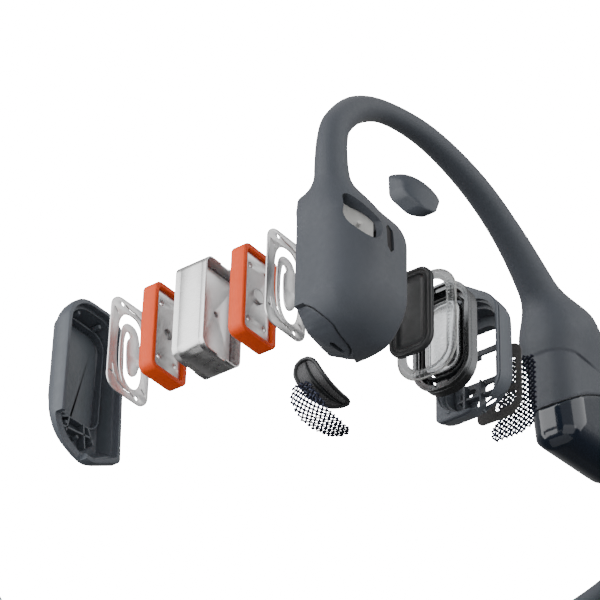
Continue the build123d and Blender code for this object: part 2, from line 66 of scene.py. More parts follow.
# ------------------------------------------------------------------ mesh helpers
def arc_outline(corners, steps=6):
    """Points of a closed outline of (u, v, radius) corners, the same number at each corner."""
    points = []
    count = len(corners)
    for i, (u, v, radius) in enumerate(corners):
        here = Vector((u, v))
        before = Vector(corners[i - 1][:2]) - here
        after = Vector(corners[(i + 1) % count][:2]) - here
        before.normalize()
        after.normalize()
        radius = max(radius, 0.02)
        half = before.angle(after) / 2
        middle = (before + after).normalized()
        centre = here + middle * (radius / math.sin(half))
        start = here + before * (radius / math.tan(half)) - centre
        end = here + after * (radius / math.tan(half)) - centre
        a0 = math.atan2(start.y, start.x)
        turn = math.atan2(end.y, end.x) - a0
        turn = (turn + math.pi) % (2 * math.pi) - math.pi
        for step in range(steps + 1):
            angle = a0 + turn * step / steps
            points.append((centre.x + radius * math.cos(angle),
                           centre.y + radius * math.sin(angle)))
    return points


def oblong(width, height, radius, cu=0.0, cv=0.0, inset=0.0, steps=8):
    """Points of a rounded rectangle, inset all round."""
    u, v = width / 2 - inset, height / 2 - inset
    r = max(radius - inset, 0.05)
    corners = [(cu - u, cv - v, r), (cu + u, cv - v, r), (cu + u, cv + v, r), (cu - u, cv + v, r)]
    return arc_outline(corners, steps)


def along(axis, height, point):
    """A point of an outline lifted along an axis of the unit frame."""
    u, v = point
    return {"x": (height, u, v), "y": (u, height, v), "z": (u, v, height)}[axis]


def mesh_object(name, verts, faces):
    """A mesh object from vertices and faces."""
    mesh = bpy.data.meshes.new(name)
    mesh.from_pydata([tuple(v) for v in verts], [], faces)
    mesh.validate()
    obj = bpy.data.objects.new(name, mesh)
    bpy.context.scene.collection.objects.link(obj)
    tidy_normals(obj)
    return obj


def tidy_normals(obj):
    """Faces outwards all over."""
    work = bmesh.new()
    work.from_mesh(obj.data)
    bmesh.ops.recalc_face_normals(work, faces=work.faces[:])
    work.to_mesh(obj.data)
    work.free()


def ring_loft(name, axis, stations, ring=False):
    """A body from (height, outline) stations: capped at both ends, or closed into a ring."""
    count = len(stations[0][1])
    verts = [along(axis, h, p) for h, outline in stations for p in outline]
    faces = []
    last = len(stations) if ring else len(stations) - 1
    for row in range(last):
        base = row * count
        above = (row + 1) % len(stations) * count
        for i in range(count):
            j = (i + 1) % count
            faces.append((base + i, base + j, above + j, above + i))
    if not ring:
        faces.append(tuple(range(count)))
        faces.append(tuple((len(stations) - 1) * count + i for i in range(count)))
    return mesh_object(name, verts, faces)


def prism(name, axis, outline, low, high):
    """An outline extruded between two heights."""
    return ring_loft(name, axis, [(low, outline), (high, outline)])


def flat_plate(name, axis, outline, holes, low, high, bevel=0.03):
    """A thin plate with holes, from closed outlines, with softened edges."""
    curve = bpy.data.curves.new(name, "CURVE")
    curve.dimensions = "2D"
    curve.fill_mode = "BOTH"
    curve.extrude = (high - low) / 2 - bevel
    curve.bevel_depth = bevel
    curve.bevel_resolution = 1
    curve.offset = -bevel
    for points in [outline, *holes]:
        spline = curve.splines.new("POLY")
        spline.points.add(len(points) - 1)
        for target, (u, v) in zip(spline.points, points):
            target.co = (u, v, 0, 1)
        spline.use_cyclic_u = True
    source = bpy.data.objects.new(name, curve)
    mesh = bpy.data.meshes.new_from_object(source)
    bpy.data.objects.remove(source)
    middle = (low + high) / 2
    for vertex in mesh.vertices:
        u, v, h = vertex.co
        vertex.co = along(axis, middle + h, (u, v))
    obj = bpy.data.objects.new(name, mesh)
    bpy.context.scene.collection.objects.link(obj)
    merge_close(obj)
    return obj


def merge_close(obj, distance=0.0005):
    """Joins vertices that lie on each other."""
    work = bmesh.new()
    work.from_mesh(obj.data)
    bmesh.ops.remove_doubles(work, verts=work.verts[:], dist=distance)
    bmesh.ops.recalc_face_normals(work, faces=work.faces[:])
    work.to_mesh(obj.data)
    work.free()


def join(name, *pieces):
    """Several mesh objects as one."""
    work = bmesh.new()
    for piece in pieces:
        work.from_mesh(piece.data)
    mesh = bpy.data.meshes.new(name)
    work.to_mesh(mesh)
    work.free()
    for piece in pieces:
        bpy.data.objects.remove(piece)
    obj = bpy.data.objects.new(name, mesh)
    bpy.context.scene.collection.objects.link(obj)
    return obj


def apply_modifier(obj, kind, **settings):
    """Adds one modifier and makes its result the mesh."""
    modifier = obj.modifiers.new(kind, kind)
    for key, value in settings.items():
        setattr(modifier, key, value)
    depsgraph = bpy.context.evaluated_depsgraph_get()
    mesh = bpy.data.meshes.new_from_object(obj.evaluated_get(depsgraph))
    obj.modifiers.clear()
    obj.data = mesh
    return obj


def cut(obj, *cutters):
    """Takes the cutters out of obj."""
    for cutter in cutters:
        apply_modifier(obj, "BOOLEAN", object=cutter, operation="DIFFERENCE", solver="EXACT")
        bpy.data.objects.remove(cutter)
    return obj


def bar(name, start, end, radius, sides=10):
    """A round bar between two points, slightly domed at its ends."""
    a, b = Vector(start), Vector(end)
    direction = (b - a).normalized()
    side = direction.orthogonal().normalized()
    other = direction.cross(side)
    length = (b - a).length
    profile = [(0, 0.7), (0.12, 1.0), (1 - 0.12, 1.0), (1, 0.7)]
    verts, faces = [], []
    for t, scale in profile:
        for i in range(sides):
            angle = 2 * math.pi * i / sides
            offset = (side * math.cos(angle) + other * math.sin(angle)) * radius * scale
            verts.append(a + direction * length * t + offset)
    for row in range(len(profile) - 1):
        for i in range(sides):
            j = (i + 1) % sides
            faces.append((row * sides + i, row * sides + j,
                          (row + 1) * sides + j, (row + 1) * sides + i))
    faces.append(tuple(range(sides)))
    faces.append(tuple((len(profile) - 1) * sides + i for i in range(sides)))
    return mesh_object(name, verts, faces)


def sweep_tube(name, points, radii, sides=20, flat=1.0, up=(0, 0, 1)):
    """A capped tube through points with a radius at each, squashed along up by flat."""
    path = [Vector(p) for p in points]
    verts, faces = [], []
    reference = Vector(up)
    for i, here in enumerate(path):
        tangent = (path[min(i + 1, len(path) - 1)] - path[max(i - 1, 0)]).normalized()
        side = tangent.cross(reference)
        side.normalize()
        lift = side.cross(tangent)
        for k in range(sides):
            angle = 2 * math.pi * k / sides
            verts.append(here + side * math.cos(angle) * radii[i]
                         + lift * math.sin(angle) * radii[i] * flat)
    for row in range(len(path) - 1):
        for k in range(sides):
            m = (k + 1) % sides
            faces.append((row * sides + k, row * sides + m,
                          (row + 1) * sides + m, (row + 1) * sides + k))
    faces.append(tuple(range(sides)))
    faces.append(tuple((len(path) - 1) * sides + k for k in range(sides)))
    return mesh_object(name, verts, faces)


# ------------------------------------------------------------------ finishing a piece
def place(obj, side="left", offset=(0, 0, 0), crisp=38):
    """From unit millimetres to the row frame in metres, mirrored for the right unit."""
    matrix = Matrix.Translation(UNIT) @ Matrix.Scale(MM, 4) @ Matrix.Translation(offset)
    if side == "right":
        matrix = Matrix.Scale(-1, 4, (1, 0, 0)) @ matrix
    obj.data.transform(matrix)
    if side == "right":
        obj.data.flip_normals()
    obj.data.shade_smooth()
    obj.data.set_sharp_from_angle(angle=math.radians(crisp))
    return obj


def give(obj, name, body, material, nodes=()):
    """Names a placed piece, lets it ride on its body, gives it its finish and hides the CAD parts it
    stands for.
    """
    obj.name = name
    obj.data.name = name
    obj.data.materials.clear()
    obj.data.materials.append(material)
    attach(obj, body)
    if nodes:
        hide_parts(*nodes)
    return obj


# ------------------------------------------------------------------ materials
class Finish:
    """A Principled material being built, with its nodes in reach."""

    def __init__(self, name, color, roughness, metallic=0.0, **sockets):
        self.material = bpy.data.materials.new(name)
        self.material.use_nodes = True
        self.tree = self.material.node_tree
        self.shader = self.tree.nodes["Principled BSDF"]
        self.shader.inputs["Base Color"].default_value = (*color, 1)
        self.shader.inputs["Roughness"].default_value = roughness
        self.shader.inputs["Metallic"].default_value = metallic
        for key, value in sockets.items():
            self.shader.inputs[key.replace("_", " ")].default_value = value
        self.color = color

    def node(self, kind, **settings):
        made = self.tree.nodes.new(kind)
        for key, value in settings.items():
            setattr(made, key, value)
        return made

    def link(self, source, target):
        self.tree.links.new(source, target)

    def coordinates(self, scale=(1, 1, 1)):
        """Object coordinates in millimetres, stretched by scale."""
        where = self.node("ShaderNodeTexCoord")
        mapping = self.node("ShaderNodeMapping")
        mapping.inputs["Scale"].default_value = [1 / MM * s for s in scale]
        self.link(where.outputs["Object"], mapping.inputs["Vector"])
        return mapping.outputs["Vector"]

    def noise(self, scale, detail=3.0, stretch=(1, 1, 1)):
        """Noise with scale features to the millimetre."""
        made = self.node("ShaderNodeTexNoise")
        made.inputs["Scale"].default_value = scale
        made.inputs["Detail"].default_value = detail
        self.link(self.coordinates(stretch), made.inputs["Vector"])
        return made.outputs["Fac"]

    def spread(self, value, low, high):
        """value, from 0 to 1, remapped to low..high."""
        made = self.node("ShaderNodeMapRange")
        made.inputs["From Min"].default_value = 0.25
        made.inputs["From Max"].default_value = 0.75
        made.inputs["To Min"].default_value = low
        made.inputs["To Max"].default_value = high
        self.link(value, made.inputs["Value"])
        return made.outputs["Result"]

    def vary_roughness(self, value, low, high):
        self.link(self.spread(value, low, high), self.shader.inputs["Roughness"])
        return self

    def vary_color(self, value, amount):
        """Mixes the colour darker and lighter by amount."""
        mix = self.node("ShaderNodeMix", data_type="RGBA")
        mix.inputs["A"].default_value = (*[c * (1 - amount) for c in self.color], 1)
        mix.inputs["B"].default_value = (*[min(1, c * (1 + amount)) for c in self.color], 1)
        self.link(value, mix.inputs["Factor"])
        self.link(mix.outputs["Result"], self.shader.inputs["Base Color"])
        return self

    def bump(self, value, height_mm, strength=1.0):
        """Bump of height_mm from a value of 0 to 1."""
        made = self.node("ShaderNodeBump")
        made.inputs["Distance"].default_value = height_mm * MM
        made.inputs["Strength"].default_value = strength
        self.link(value, made.inputs["Height"])
        self.link(made.outputs["Normal"], self.shader.inputs["Normal"])
        return self


def moulded(name, color, roughness, grain=9.0, height=0.006, **sockets):
    """Moulded plastic or silicone: fine spark-eroded grain, a little colour drift."""
    finish = Finish(name, color, roughness, **sockets)
    finish.vary_roughness(finish.noise(1.3), roughness - 0.05, roughness + 0.05)
    finish.vary_color(finish.noise(0.35, 2.0), 0.05)
    finish.bump(finish.noise(grain, 2.0), height)
    return finish.material


def brushed(name, color, roughness, stretch=(0.5, 6, 0.5), height=0.004):
    """Metal with fine parallel brush marks."""
    finish = Finish(name, color, roughness, 1.0)
    marks = finish.noise(2.2, 4.0, stretch)
    finish.vary_roughness(marks, roughness - 0.08, roughness + 0.1)
    finish.vary_color(finish.noise(0.6, 2.0), 0.05)
    finish.bump(marks, height)
    return finish.material


def winding():
    """Lacquered orange winding: fine layered lines round the ring, thick clear lacquer."""
    finish = Finish("orange_lacquer", (0.95, 0.095, 0.018), 0.42, Specular_IOR_Level=0.25)
    layers = finish.node("ShaderNodeTexWave", bands_direction="X")
    layers.inputs["Scale"].default_value = 1.1
    layers.inputs["Distortion"].default_value = 0.3
    finish.link(finish.coordinates(), layers.inputs["Vector"])
    finish.bump(layers.outputs["Fac"], 0.012)
    finish.vary_color(finish.noise(0.7, 2.0), 0.10)
    return finish.material


def clear_film():
    """Clear embossed polymer."""
    finish = Finish("clear_film", (0.93, 0.95, 0.96), 0.06, Transmission_Weight=0.96, IOR=1.42)
    finish.vary_roughness(finish.noise(2.0), 0.03, 0.12)
    finish.bump(finish.noise(5.0, 2.0), 0.004)
    return finish.material


def cloth_backing(name, color):
    """Fine woven acoustic cloth."""
    finish = Finish(name, color, 0.85, Sheen_Weight=0.3)
    weave = finish.node("ShaderNodeTexChecker")
    weave.inputs["Scale"].default_value = 9.0
    weave.inputs["Color1"].default_value = (1, 1, 1, 1)
    weave.inputs["Color2"].default_value = (0, 0, 0, 1)
    finish.link(finish.coordinates(), weave.inputs["Vector"])
    finish.vary_color(weave.outputs["Fac"], 0.45)
    finish.bump(weave.outputs["Fac"], 0.01)
    return finish.material


SKIN = moulded("slate_silicone", (0.050, 0.058, 0.073), 0.56, 11.0, 0.004, Sheen_Weight=0.15)
COVER = moulded("slate_plastic", (0.088, 0.101, 0.120), 0.42, 8.0, 0.004)
KEY = moulded("key_plastic", (0.048, 0.056, 0.070), 0.42, 9.0, 0.004)
GLOSS = moulded("navy_gloss", (0.012, 0.018, 0.030), 0.16, 3.0, 0.001, Coat_Weight=0.6,
                Coat_Roughness=0.05)
BLACK = moulded("black_polymer", (0.018, 0.020, 0.022), 0.38, 8.0, 0.004)
BLACK_MATT = moulded("black_matt", (0.012, 0.012, 0.013), 0.7, 8.0, 0.004)
PALE = moulded("pale_carrier", (0.62, 0.62, 0.60), 0.4, 6.0, 0.003)
ORANGE = winding()
STEEL = brushed("brushed_steel", (0.84, 0.84, 0.84), 0.30, (0.4, 0.4, 7))
PLATE_STEEL = brushed("plate_steel", (0.72, 0.72, 0.72), 0.36, (3, 0.4, 5))
SPRING = brushed("spring_steel", (0.84, 0.84, 0.84), 0.38, (3, 3, 3), 0.002)
NICKEL = brushed("nickel_plate", (0.52, 0.53, 0.54), 0.26, (0.4, 0.4, 5), 0.002)
BASKET = brushed("blackened_steel", (0.16, 0.165, 0.17), 0.30, (2, 2, 2), 0.003)
WIRE_MESH = brushed("blued_wire", (0.045, 0.050, 0.075), 0.45, (3, 3, 3), 0.002)
CLEAR = clear_film()
CLOTH = cloth_backing("acoustic_cloth", (0.030, 0.030, 0.032))
PAD_GREY = cloth_backing("outlet_cloth", (0.055, 0.053, 0.052))
VENT_CLOTH = cloth_backing("vent_cloth", (0.10, 0.10, 0.105))


# ------------------------------------------------------------------ camera, light and stage
FOCUS = UNIT + Vector((-17.4, 0.0, 0.0)) * MM  # on the driver's axis, in its drawn-out case
VIEW_AZIMUTH, VIEW_ELEVATION, VIEW_ROLL = 38.5, -34.5, 1.5
VIEW_DISTANCE = 398.6 * MM
VIEW_LENS = 169.8
FRAME_SHIFT = Vector((10.752, 1.572)) * MM     # from the focus to the picture's middle


def make_camera():
    """Long lens from the wearer's front left and below."""
    azimuth, elevation = math.radians(VIEW_AZIMUTH), math.radians(VIEW_ELEVATION)
    back = Vector((math.sin(azimuth) * math.cos(elevation),
                   -math.cos(azimuth) * math.cos(elevation), math.sin(elevation)))
    level = Vector((math.cos(azimuth), math.sin(azimuth), 0))
    upright = back.cross(level)
    roll = math.radians(VIEW_ROLL)
    right = level * math.cos(roll) + upright * math.sin(roll)
    up = upright * math.cos(roll) - level * math.sin(roll)
    data = bpy.data.cameras.new("view")
    data.lens = VIEW_LENS
    data.sensor_width = 36
    data.clip_start = 0.01
    camera = bpy.data.objects.new("view", data)
    bpy.context.scene.collection.objects.link(camera)
    rotation = Matrix((right, up, back)).transposed().to_4x4()
    where = FOCUS + right * FRAME_SHIFT.x + up * FRAME_SHIFT.y + back * VIEW_DISTANCE
    camera.matrix_world = Matrix.Translation(where) @ rotation
    bpy.context.scene.camera = camera
    return right, up, back


def soft_light(name, where, size, power, color=(1, 1, 1)):
    """A square area light aimed at the pod."""
    data = bpy.data.lights.new(name, "AREA")
    data.size = size
    data.energy = power
    data.color = color
    lamp = bpy.data.objects.new(name, data)
    bpy.context.scene.collection.objects.link(lamp)
    target = UNIT + Vector((-10, 18, 0)) * MM
    lamp.location = where
    lamp.rotation_euler = (target - Vector(where)).to_track_quat("-Z", "Y").to_euler()


def make_lights(right, up, back):
    """Soft key from above left of the view, broad front fill, rim from the right."""
    middle = UNIT + Vector((-10, 18, 0)) * MM
    soft_light("key", middle - right * 0.62 + up * 0.22 + back * 0.20, 1.0, 8.5)
    soft_light("front_fill", middle + right * 0.10 + up * 0.10 + back * 0.70, 0.9, 2.0)
    soft_light("rim", middle + right * 0.50 + up * 0.25 + back * 0.10, 0.8, 3.0)
    world = bpy.data.worlds.new("studio")
    bpy.context.scene.world = world
    world.use_nodes = True
    tree = world.node_tree
    background = tree.nodes["Background"]
    background.inputs["Strength"].default_value = 0.42
    where = tree.nodes.new("ShaderNodeTexCoord")
    height = tree.nodes.new("ShaderNodeSeparateXYZ")
    tree.links.new(where.outputs["Generated"], height.inputs["Vector"])
    level = tree.nodes.new("ShaderNodeMapRange")
    level.inputs["From Min"].default_value = -0.45
    level.inputs["From Max"].default_value = 0.55
    level.inputs["To Min"].default_value = 0.10
    level.inputs["To Max"].default_value = 1.0
    tree.links.new(height.outputs["Z"], level.inputs["Value"])
    tree.links.new(level.outputs["Result"], background.inputs["Color"])
    backdrop = tree.nodes.new("ShaderNodeBackground")
    backdrop.inputs["Color"].default_value = (1, 1, 1, 1)
    backdrop.inputs["Strength"].default_value = 20.0
    seen = tree.nodes.new("ShaderNodeLightPath")
    mix = tree.nodes.new("ShaderNodeMixShader")
    tree.links.new(seen.outputs["Is Camera Ray"], mix.inputs["Fac"])
    tree.links.new(background.outputs["Background"], mix.inputs[1])
    tree.links.new(backdrop.outputs["Background"], mix.inputs[2])
    tree.links.new(mix.outputs["Shader"], tree.nodes["World Output"].inputs["Surface"])


def make_floor():
    """Plain pale floor well below the headphones."""
    height = -0.45
    reach = 0.25
    floor = mesh_object("studio_floor", [(-reach, -reach, height), (reach, -reach, height),
                                         (reach, reach, height), (-reach, reach, height)],
                        [(0, 1, 2, 3)])
    finish = Finish("floor", (0.35, 0.35, 0.35), 0.8)
    finish.vary_roughness(finish.noise(0.02), 0.75, 0.85)
    floor.data.materials.append(finish.material)


view_right, view_up, view_back = make_camera()
make_lights(view_right, view_up, view_back)
make_floor()


# ------------------------------------------------------------------ distance fields
def round_max(a, b, radius):
    """Where both fields are negative, with the corner between them rounded."""
    reach_a, reach_b = np.maximum(a + radius, 0), np.maximum(b + radius, 0)
    return np.minimum(-radius, np.maximum(a, b)) + np.sqrt(reach_a ** 2 + reach_b ** 2)


def smooth_min(a, b, blend):
    """The union of two fields, flowing into each other over blend."""
    h = np.maximum(blend - np.abs(a - b), 0) / blend
    return np.minimum(a, b) - h * h * blend * 0.25


def beyond(u, v, start, end):
    """Distance beyond the line from start to end, positive on its right."""
    du, dv = end[0] - start[0], end[1] - start[1]
    length = math.hypot(du, dv)
    return ((u - start[0]) * dv - (v - start[1]) * du) / length


class Field:
    """A grid of points in the unit frame on which distances are worked out."""

    def __init__(self, low, high, pitch):
        self.low, self.pitch = np.array(low, float), pitch
        axes = [np.arange(a, b + pitch, pitch, dtype=np.float32) for a, b in zip(low, high)]
        self.axes = axes
        self.x, self.y, self.z = np.meshgrid(*axes, indexing="ij", sparse=True)
        self.shape = tuple(len(a) for a in axes)

    def window(self, low, high):
        """The slices that cover a box."""
        return tuple(slice(max(0, int((a - l) / self.pitch)), max(0, int((b - l) / self.pitch) + 2))
                     for a, b, l in zip(low, high, self.low))

    def to_object(self, name, values):
        """The surface at distance 0."""
        far = 2 * self.pitch
        grid = openvdb.FloatGrid(far)
        grid.copyFromArray(np.clip(values, -far, far).astype(np.float32))
        points, quads = grid.convertToQuads(0.0)
        verts = points * self.pitch + self.low
        return mesh_object(name, verts.tolist(), quads.tolist())


def pod_field(x, y, z, inset=0.0):
    """The pod housing's outer form, inset all round except on its skin side."""
    front, rear, top = POD_FRONT - POD_NOSE - y + inset, y - POD_REAR + inset, z - POD_TOP + inset
    outer = x - POD_DEPTH + inset
    shoulder = beyond(x, z, (10.8, 6.0), (3.7, 10.9)) + inset
    low_outer = beyond(x, z, (2.4, -15.7), (10.8, -11.2)) + inset
    low_rear = beyond(y, z, (0.8, -15.4), (5.7, -13.4)) + inset
    low_front = beyond(y, z, (-5.7, -14.2), (0.8, -15.4)) + inset
    form = round_max(outer, shoulder, 3.4)
    form = round_max(form, low_outer, 4.6)
    form = round_max(form, front, max(6.4 - inset, 1.0))
    form = round_max(form, low_rear, 1.2)
    form = round_max(form, low_front, 2.6)
    form = round_max(form, top, 2.6)
    return round_max(form, rear, 0.9)


HOOK_STATIONS = [
    (-3.2, 7.0, 6.0), (-3.9, 10.2, 5.2), (-4.3, 13.3, 4.75), (-4.2, 17.8, 4.4),
    (-3.0, 21.6, 4.3), (1.2, 26.6, 4.1), (8.4, 30.6, 3.4), (19.0, 32.5, 3.7),
    (30.5, 31.0, 4.2), (40.0, 26.8, 4.7), (48.0, 20.8, 6.0), (52.5, 16.0, 8.0),
]


def curve_through(stations, steps):
    """Catmull-Rom points through stations of any width."""
    known = [Vector(s) for s in stations]
    known = [known[0] * 2 - known[1], *known, known[-1] * 2 - known[-2]]
    points = []
    for a, b, c, d in zip(known, known[1:], known[2:], known[3:]):
        for step in range(steps):
            t = step / steps
            points.append(0.5 * (2 * b + (c - a) * t + (2 * a - 5 * b + 4 * c - d) * t * t
                                 + (3 * b - a - 3 * c + d) * t ** 3))
    points.append(known[-2])
    return points


def hook_field(field, values, blend):
    """Adds the tapered hook to a field's values."""
    line = curve_through(HOOK_STATIONS, 6)
    hook = np.full(field.shape, 50.0, np.float32)
    reach = 6.0
    for a, b in zip(line, line[1:]):
        low = (HOOK_X - reach, min(a.x, b.x) - reach, min(a.y, b.y) - reach)
        high = (HOOK_X + reach, max(a.x, b.x) + reach, max(a.y, b.y) + reach)
        part = field.window(low, high)
        x = field.x[part[0], :, :] - HOOK_X
        y, z = field.y[:, part[1], :] - a.x, field.z[:, :, part[2]] - a.y
        dy, dz = b.x - a.x, b.y - a.y
        t = np.clip((y * dy + z * dz) / (dy * dy + dz * dz), 0, 1)
        gap = np.sqrt(x * x + (y - t * dy) ** 2 + (z - t * dz) ** 2)
        hook[part] = np.minimum(hook[part], gap - (a.z + (b.z - a.z) * t) / 2)
    return smooth_min(values, hook, blend)


PANEL_KEYS = {"power_button": (54.8, -4.9), "volume_button": (61.0, -4.45)}  # (y, z) of each
PANEL_KEY_X = 4.7
BATTERY_REAR = 72.0
BATTERY_PROFILE = [(50.0, -4.6), (68.0, -3.4), (BATTERY_REAR, 4.0),
                   (BATTERY_REAR, 8.4), (66.0, 17.0),
                   (54.0, 20.6), (46.8, 14.6)]


def battery_field(x, y, z, inset=0.0):
    """The battery pod: deep in front, narrowing towards the neckband."""
    form = None
    for start, end in zip(BATTERY_PROFILE, BATTERY_PROFILE[1:] + BATTERY_PROFILE[:1]):
        edge = beyond(y, z, start, end) + inset
        form = edge if form is None else round_max(form, edge, 2.4)
    sides = np.maximum(0.4 - x, x - 9.0) + inset
    taper = np.maximum(beyond(x, y, (9.0, 67.0), (7.0, 72.0)),
                       beyond(x, y, (2.2, 72.0), (0.4, 67.0))) + inset
    return round_max(round_max(form, sides, 3.6), taper, 2.0)


def gloss_boundary(y, z):
    """Above the curved seam between the battery pod's silicone and its glossy tray."""
    return z - (-2.0 + 9.6 * np.sin(np.clip((y - 44.5) / 21.0, 0, 1.35) * math.pi / 2))


def skin_pitch():
    return 0.25


def make_skin_form():
    """Housing shell, hook and upper battery shell as one moulded silicone-covered body."""
    field = Field((-0.75, -7.5, -17.5), (12.0, 74.5, 36.5), skin_pitch())
    x, y, z = field.x, field.y, field.z
    values = pod_field(x, y, z) + np.zeros(field.shape, np.float32)
    values = hook_field(field, values, 4.0)
    values = smooth_min(values, battery_field(x, y, z), 6.0)
    room = np.maximum(pod_field(x, y, z, 0.95), -seat_field(x, y, z) + 0.9)
    values = np.maximum(values, -room)
    values = np.maximum(values, -x)
    values = np.maximum(values, np.where(y > 42, 0.06 - gloss_boundary(y, z), -50.0))
    return field.to_object("skin_form", values)


def make_tray_form():
    """The glossy lower tray of the battery pod."""
    field = Field((-0.75, 44.5, -6.5), (10.0, 74.5, 10.5), skin_pitch())
    x, y, z = field.x, field.y, field.z
    values = np.maximum(battery_field(x, y, z, 0.04), gloss_boundary(y, z) + 0.06)
    return field.to_object("tray_form", values)


# ------------------------------------------------------------------ vent seat and key recess
VENT_STATIONS = [  # turn round the lower front corner in degrees, medial edge, lateral edge
    (4, 0.9, 1.5), (7, 0.1, 2.1), (15, -0.45, 2.9), (28, -0.7, 3.7), (42, -0.45, 4.3),
    (56, -0.15, 4.6), (73, 0.0, 4.5), (90, 0.15, 4.45), (107, 0.45, 4.35), (118, 0.8, 4.0),
    (125, 1.5, 3.5), (128, 2.1, 2.9),
]
VENT_CENTRE = (-1.0, -9.5)


def vent_edges(turn):
    """The strip's two edges in x at a turn in degrees."""
    turns, low, high = zip(*VENT_STATIONS)
    return np.interp(turn, turns, low), np.interp(turn, turns, high)


def vent_path(turn, depth):
    """The point (y, z) on the lower front corner at a turn in degrees, at a depth."""
    angle = math.radians(turn)
    direction = (-math.cos(angle), -math.sin(angle))
    reach = 1.0
    for _ in range(24):
        y = VENT_CENTRE[0] + direction[0] * reach
        z = VENT_CENTRE[1] + direction[1] * reach
        reach -= side_field(y, z) + depth
    return float(y), float(z)


def side_field(y, z):
    """Distance beyond the pod's outline seen along x, round its lower front corner."""
    low_rear = beyond(y, z, (0.8, -15.4), (5.7, -13.4))
    low_front = beyond(y, z, (-5.7, -14.2), (0.8, -15.4))
    return round_max(round_max(POD_FRONT - y, low_front, 2.6), low_rear, 2.0)


def seat_field(x, y, z):
    """Negative in the slanting seat that the vent takes out of the pod's corner."""
    turn = np.degrees(np.arctan2(VENT_CENTRE[1] - z, VENT_CENTRE[0] - y))
    beneath = -pod_field(x, y, z)
    high = vent_edges(turn)[1]
    strip = np.maximum(np.maximum(3.0 - turn, turn - 129.0) * 0.09, x - high - 0.1)
    groove = np.maximum(np.abs(strip) - 0.16, beneath - 0.9)
    shelf = vent_edges(np.minimum(turn, 118.0))[1] - np.clip((turn - 118.0) / 50.0, 0, 1) * 3.2
    inside = np.maximum(np.maximum(3.0 - turn, turn - 160.0) * 0.09, x - shelf - 0.1)
    depth = 0.3 + 2.2 * np.clip((high - x) / 4.6, 0, 1) ** 1.2
    return np.minimum(np.maximum(inside, beneath - depth), groove)


MICROPHONE_SLOT = [(1.05, 3.0), (1.3, -0.1)]     # its two ends, as (y, z)
MICROPHONE_WIDTH = 1.42
KEY_CORNER = (7.0, -5.1)              # (x, y) of the recess's front edge on the pod's surface
RECESS_FLOOR, BRACKET_TOP = -1.3, -0.93          # depths under the chord at the recess
SEAL_LOW, SEAL_HIGH, KEY_BASE = -0.84, -0.68, -0.65
KEY_PROUD = 0.6                       # how far the key stands out of the pod
KEY_SLANT = math.radians(38.2)        # the recess faces this far forward of straight outwards


def key_axes(x, y):
    """Distance out from the chord of the rounded corner under the key, and along it."""
    dx, dy = x - KEY_CORNER[0], y - KEY_CORNER[1]
    c, s = math.cos(KEY_SLANT), math.sin(KEY_SLANT)
    return dx * c - dy * s, dx * s + dy * c


def slant(obj):
    """Turns a piece drawn with x out from the key's chord and y along it into place."""
    matrix = (Matrix.Translation((*KEY_CORNER, 0)) @ Matrix.Rotation(-KEY_SLANT, 4, "Z"))
    obj.data.transform(matrix)
    return obj


def key_outline_field(y, z, inset, radius):
    """Distance beyond the key's outline seen along x."""
    corners = [(-5.6, 7.0), (-5.5, 2.4), (-3.2, -0.15), (-1.1, -0.1), (-0.1, 2.8), (-2.3, 5.1)]
    form = None
    for start, end in zip(corners, corners[1:] + corners[:1]):
        edge = beyond(y, z, start, end) + inset
        form = edge if form is None else round_max(form, edge, radius)
    return form


def recess_field(x, y, z):
    """Negative in the key's recess: its floor lies along the chord and ramps up behind."""
    out, along_it = key_axes(x, y)
    floor = RECESS_FLOOR + np.maximum(0, along_it - 4.4) * 0.8
    return round_max(key_outline_field(y, z, 0.0, 1.0), floor - out, 0.4)


def fine_cutter(name, low, high, shape, pitch=0.12):
    """A cutter from a field of its own on a fine grid."""
    field = Field(low, high, pitch)
    values = shape(field.x, field.y, field.z) + np.zeros(field.shape, np.float32)
    edge = 3 * pitch
    for axis, (a, b) in zip((field.x, field.y, field.z), zip(low, high)):
        values = np.maximum(values, np.maximum(a + edge - axis, axis - b + edge))
    return field.to_object(name, values)


# ------------------------------------------------------------------ the pod and its shells
def make_skins():
    """Both sides' silicone-covered bodies: housing, hook and upper battery shell."""
    skin = make_skin_form()
    rear_door = prism("rear_door", "y", oblong(8.2, 14.9, 2.6, SPEAKER_X, SPEAKER_Z), 4.0, 8.0)
    seat = fine_cutter("seat", (-1.5, -8.0, -18.0), (5.6, 6.5, -7.0), seat_field)
    port = prism("port", "x", slit(MICROPHONE_SLOT, MICROPHONE_WIDTH + 0.08), 8.8, 12.0)
    vent = prism("vent", "z", slit([(2.5, -0.7), (2.8, 1.3)], 0.75), -17.0, -10.5)
    cut(skin, join("cutters", rear_door, port), seat, vent)
    left = skin
    right = left.copy()
    right.data = left.data.copy()
    bpy.context.scene.collection.objects.link(right)
    cut(left, fine_cutter("recess", (4.0, -7.5, -2.0), (13.0, 2.5, 9.0), recess_field))
    nodes = ["housing", "ear_hook", "battery_upper"]
    place(left, crisp=30)
    give(left, "left_skin", "left_arm", SKIN, [f"left_{n}" for n in nodes])
    place(right, "right", crisp=30)
    give(right, "right_skin", "right_arm", SKIN, [f"right_{n}" for n in nodes])


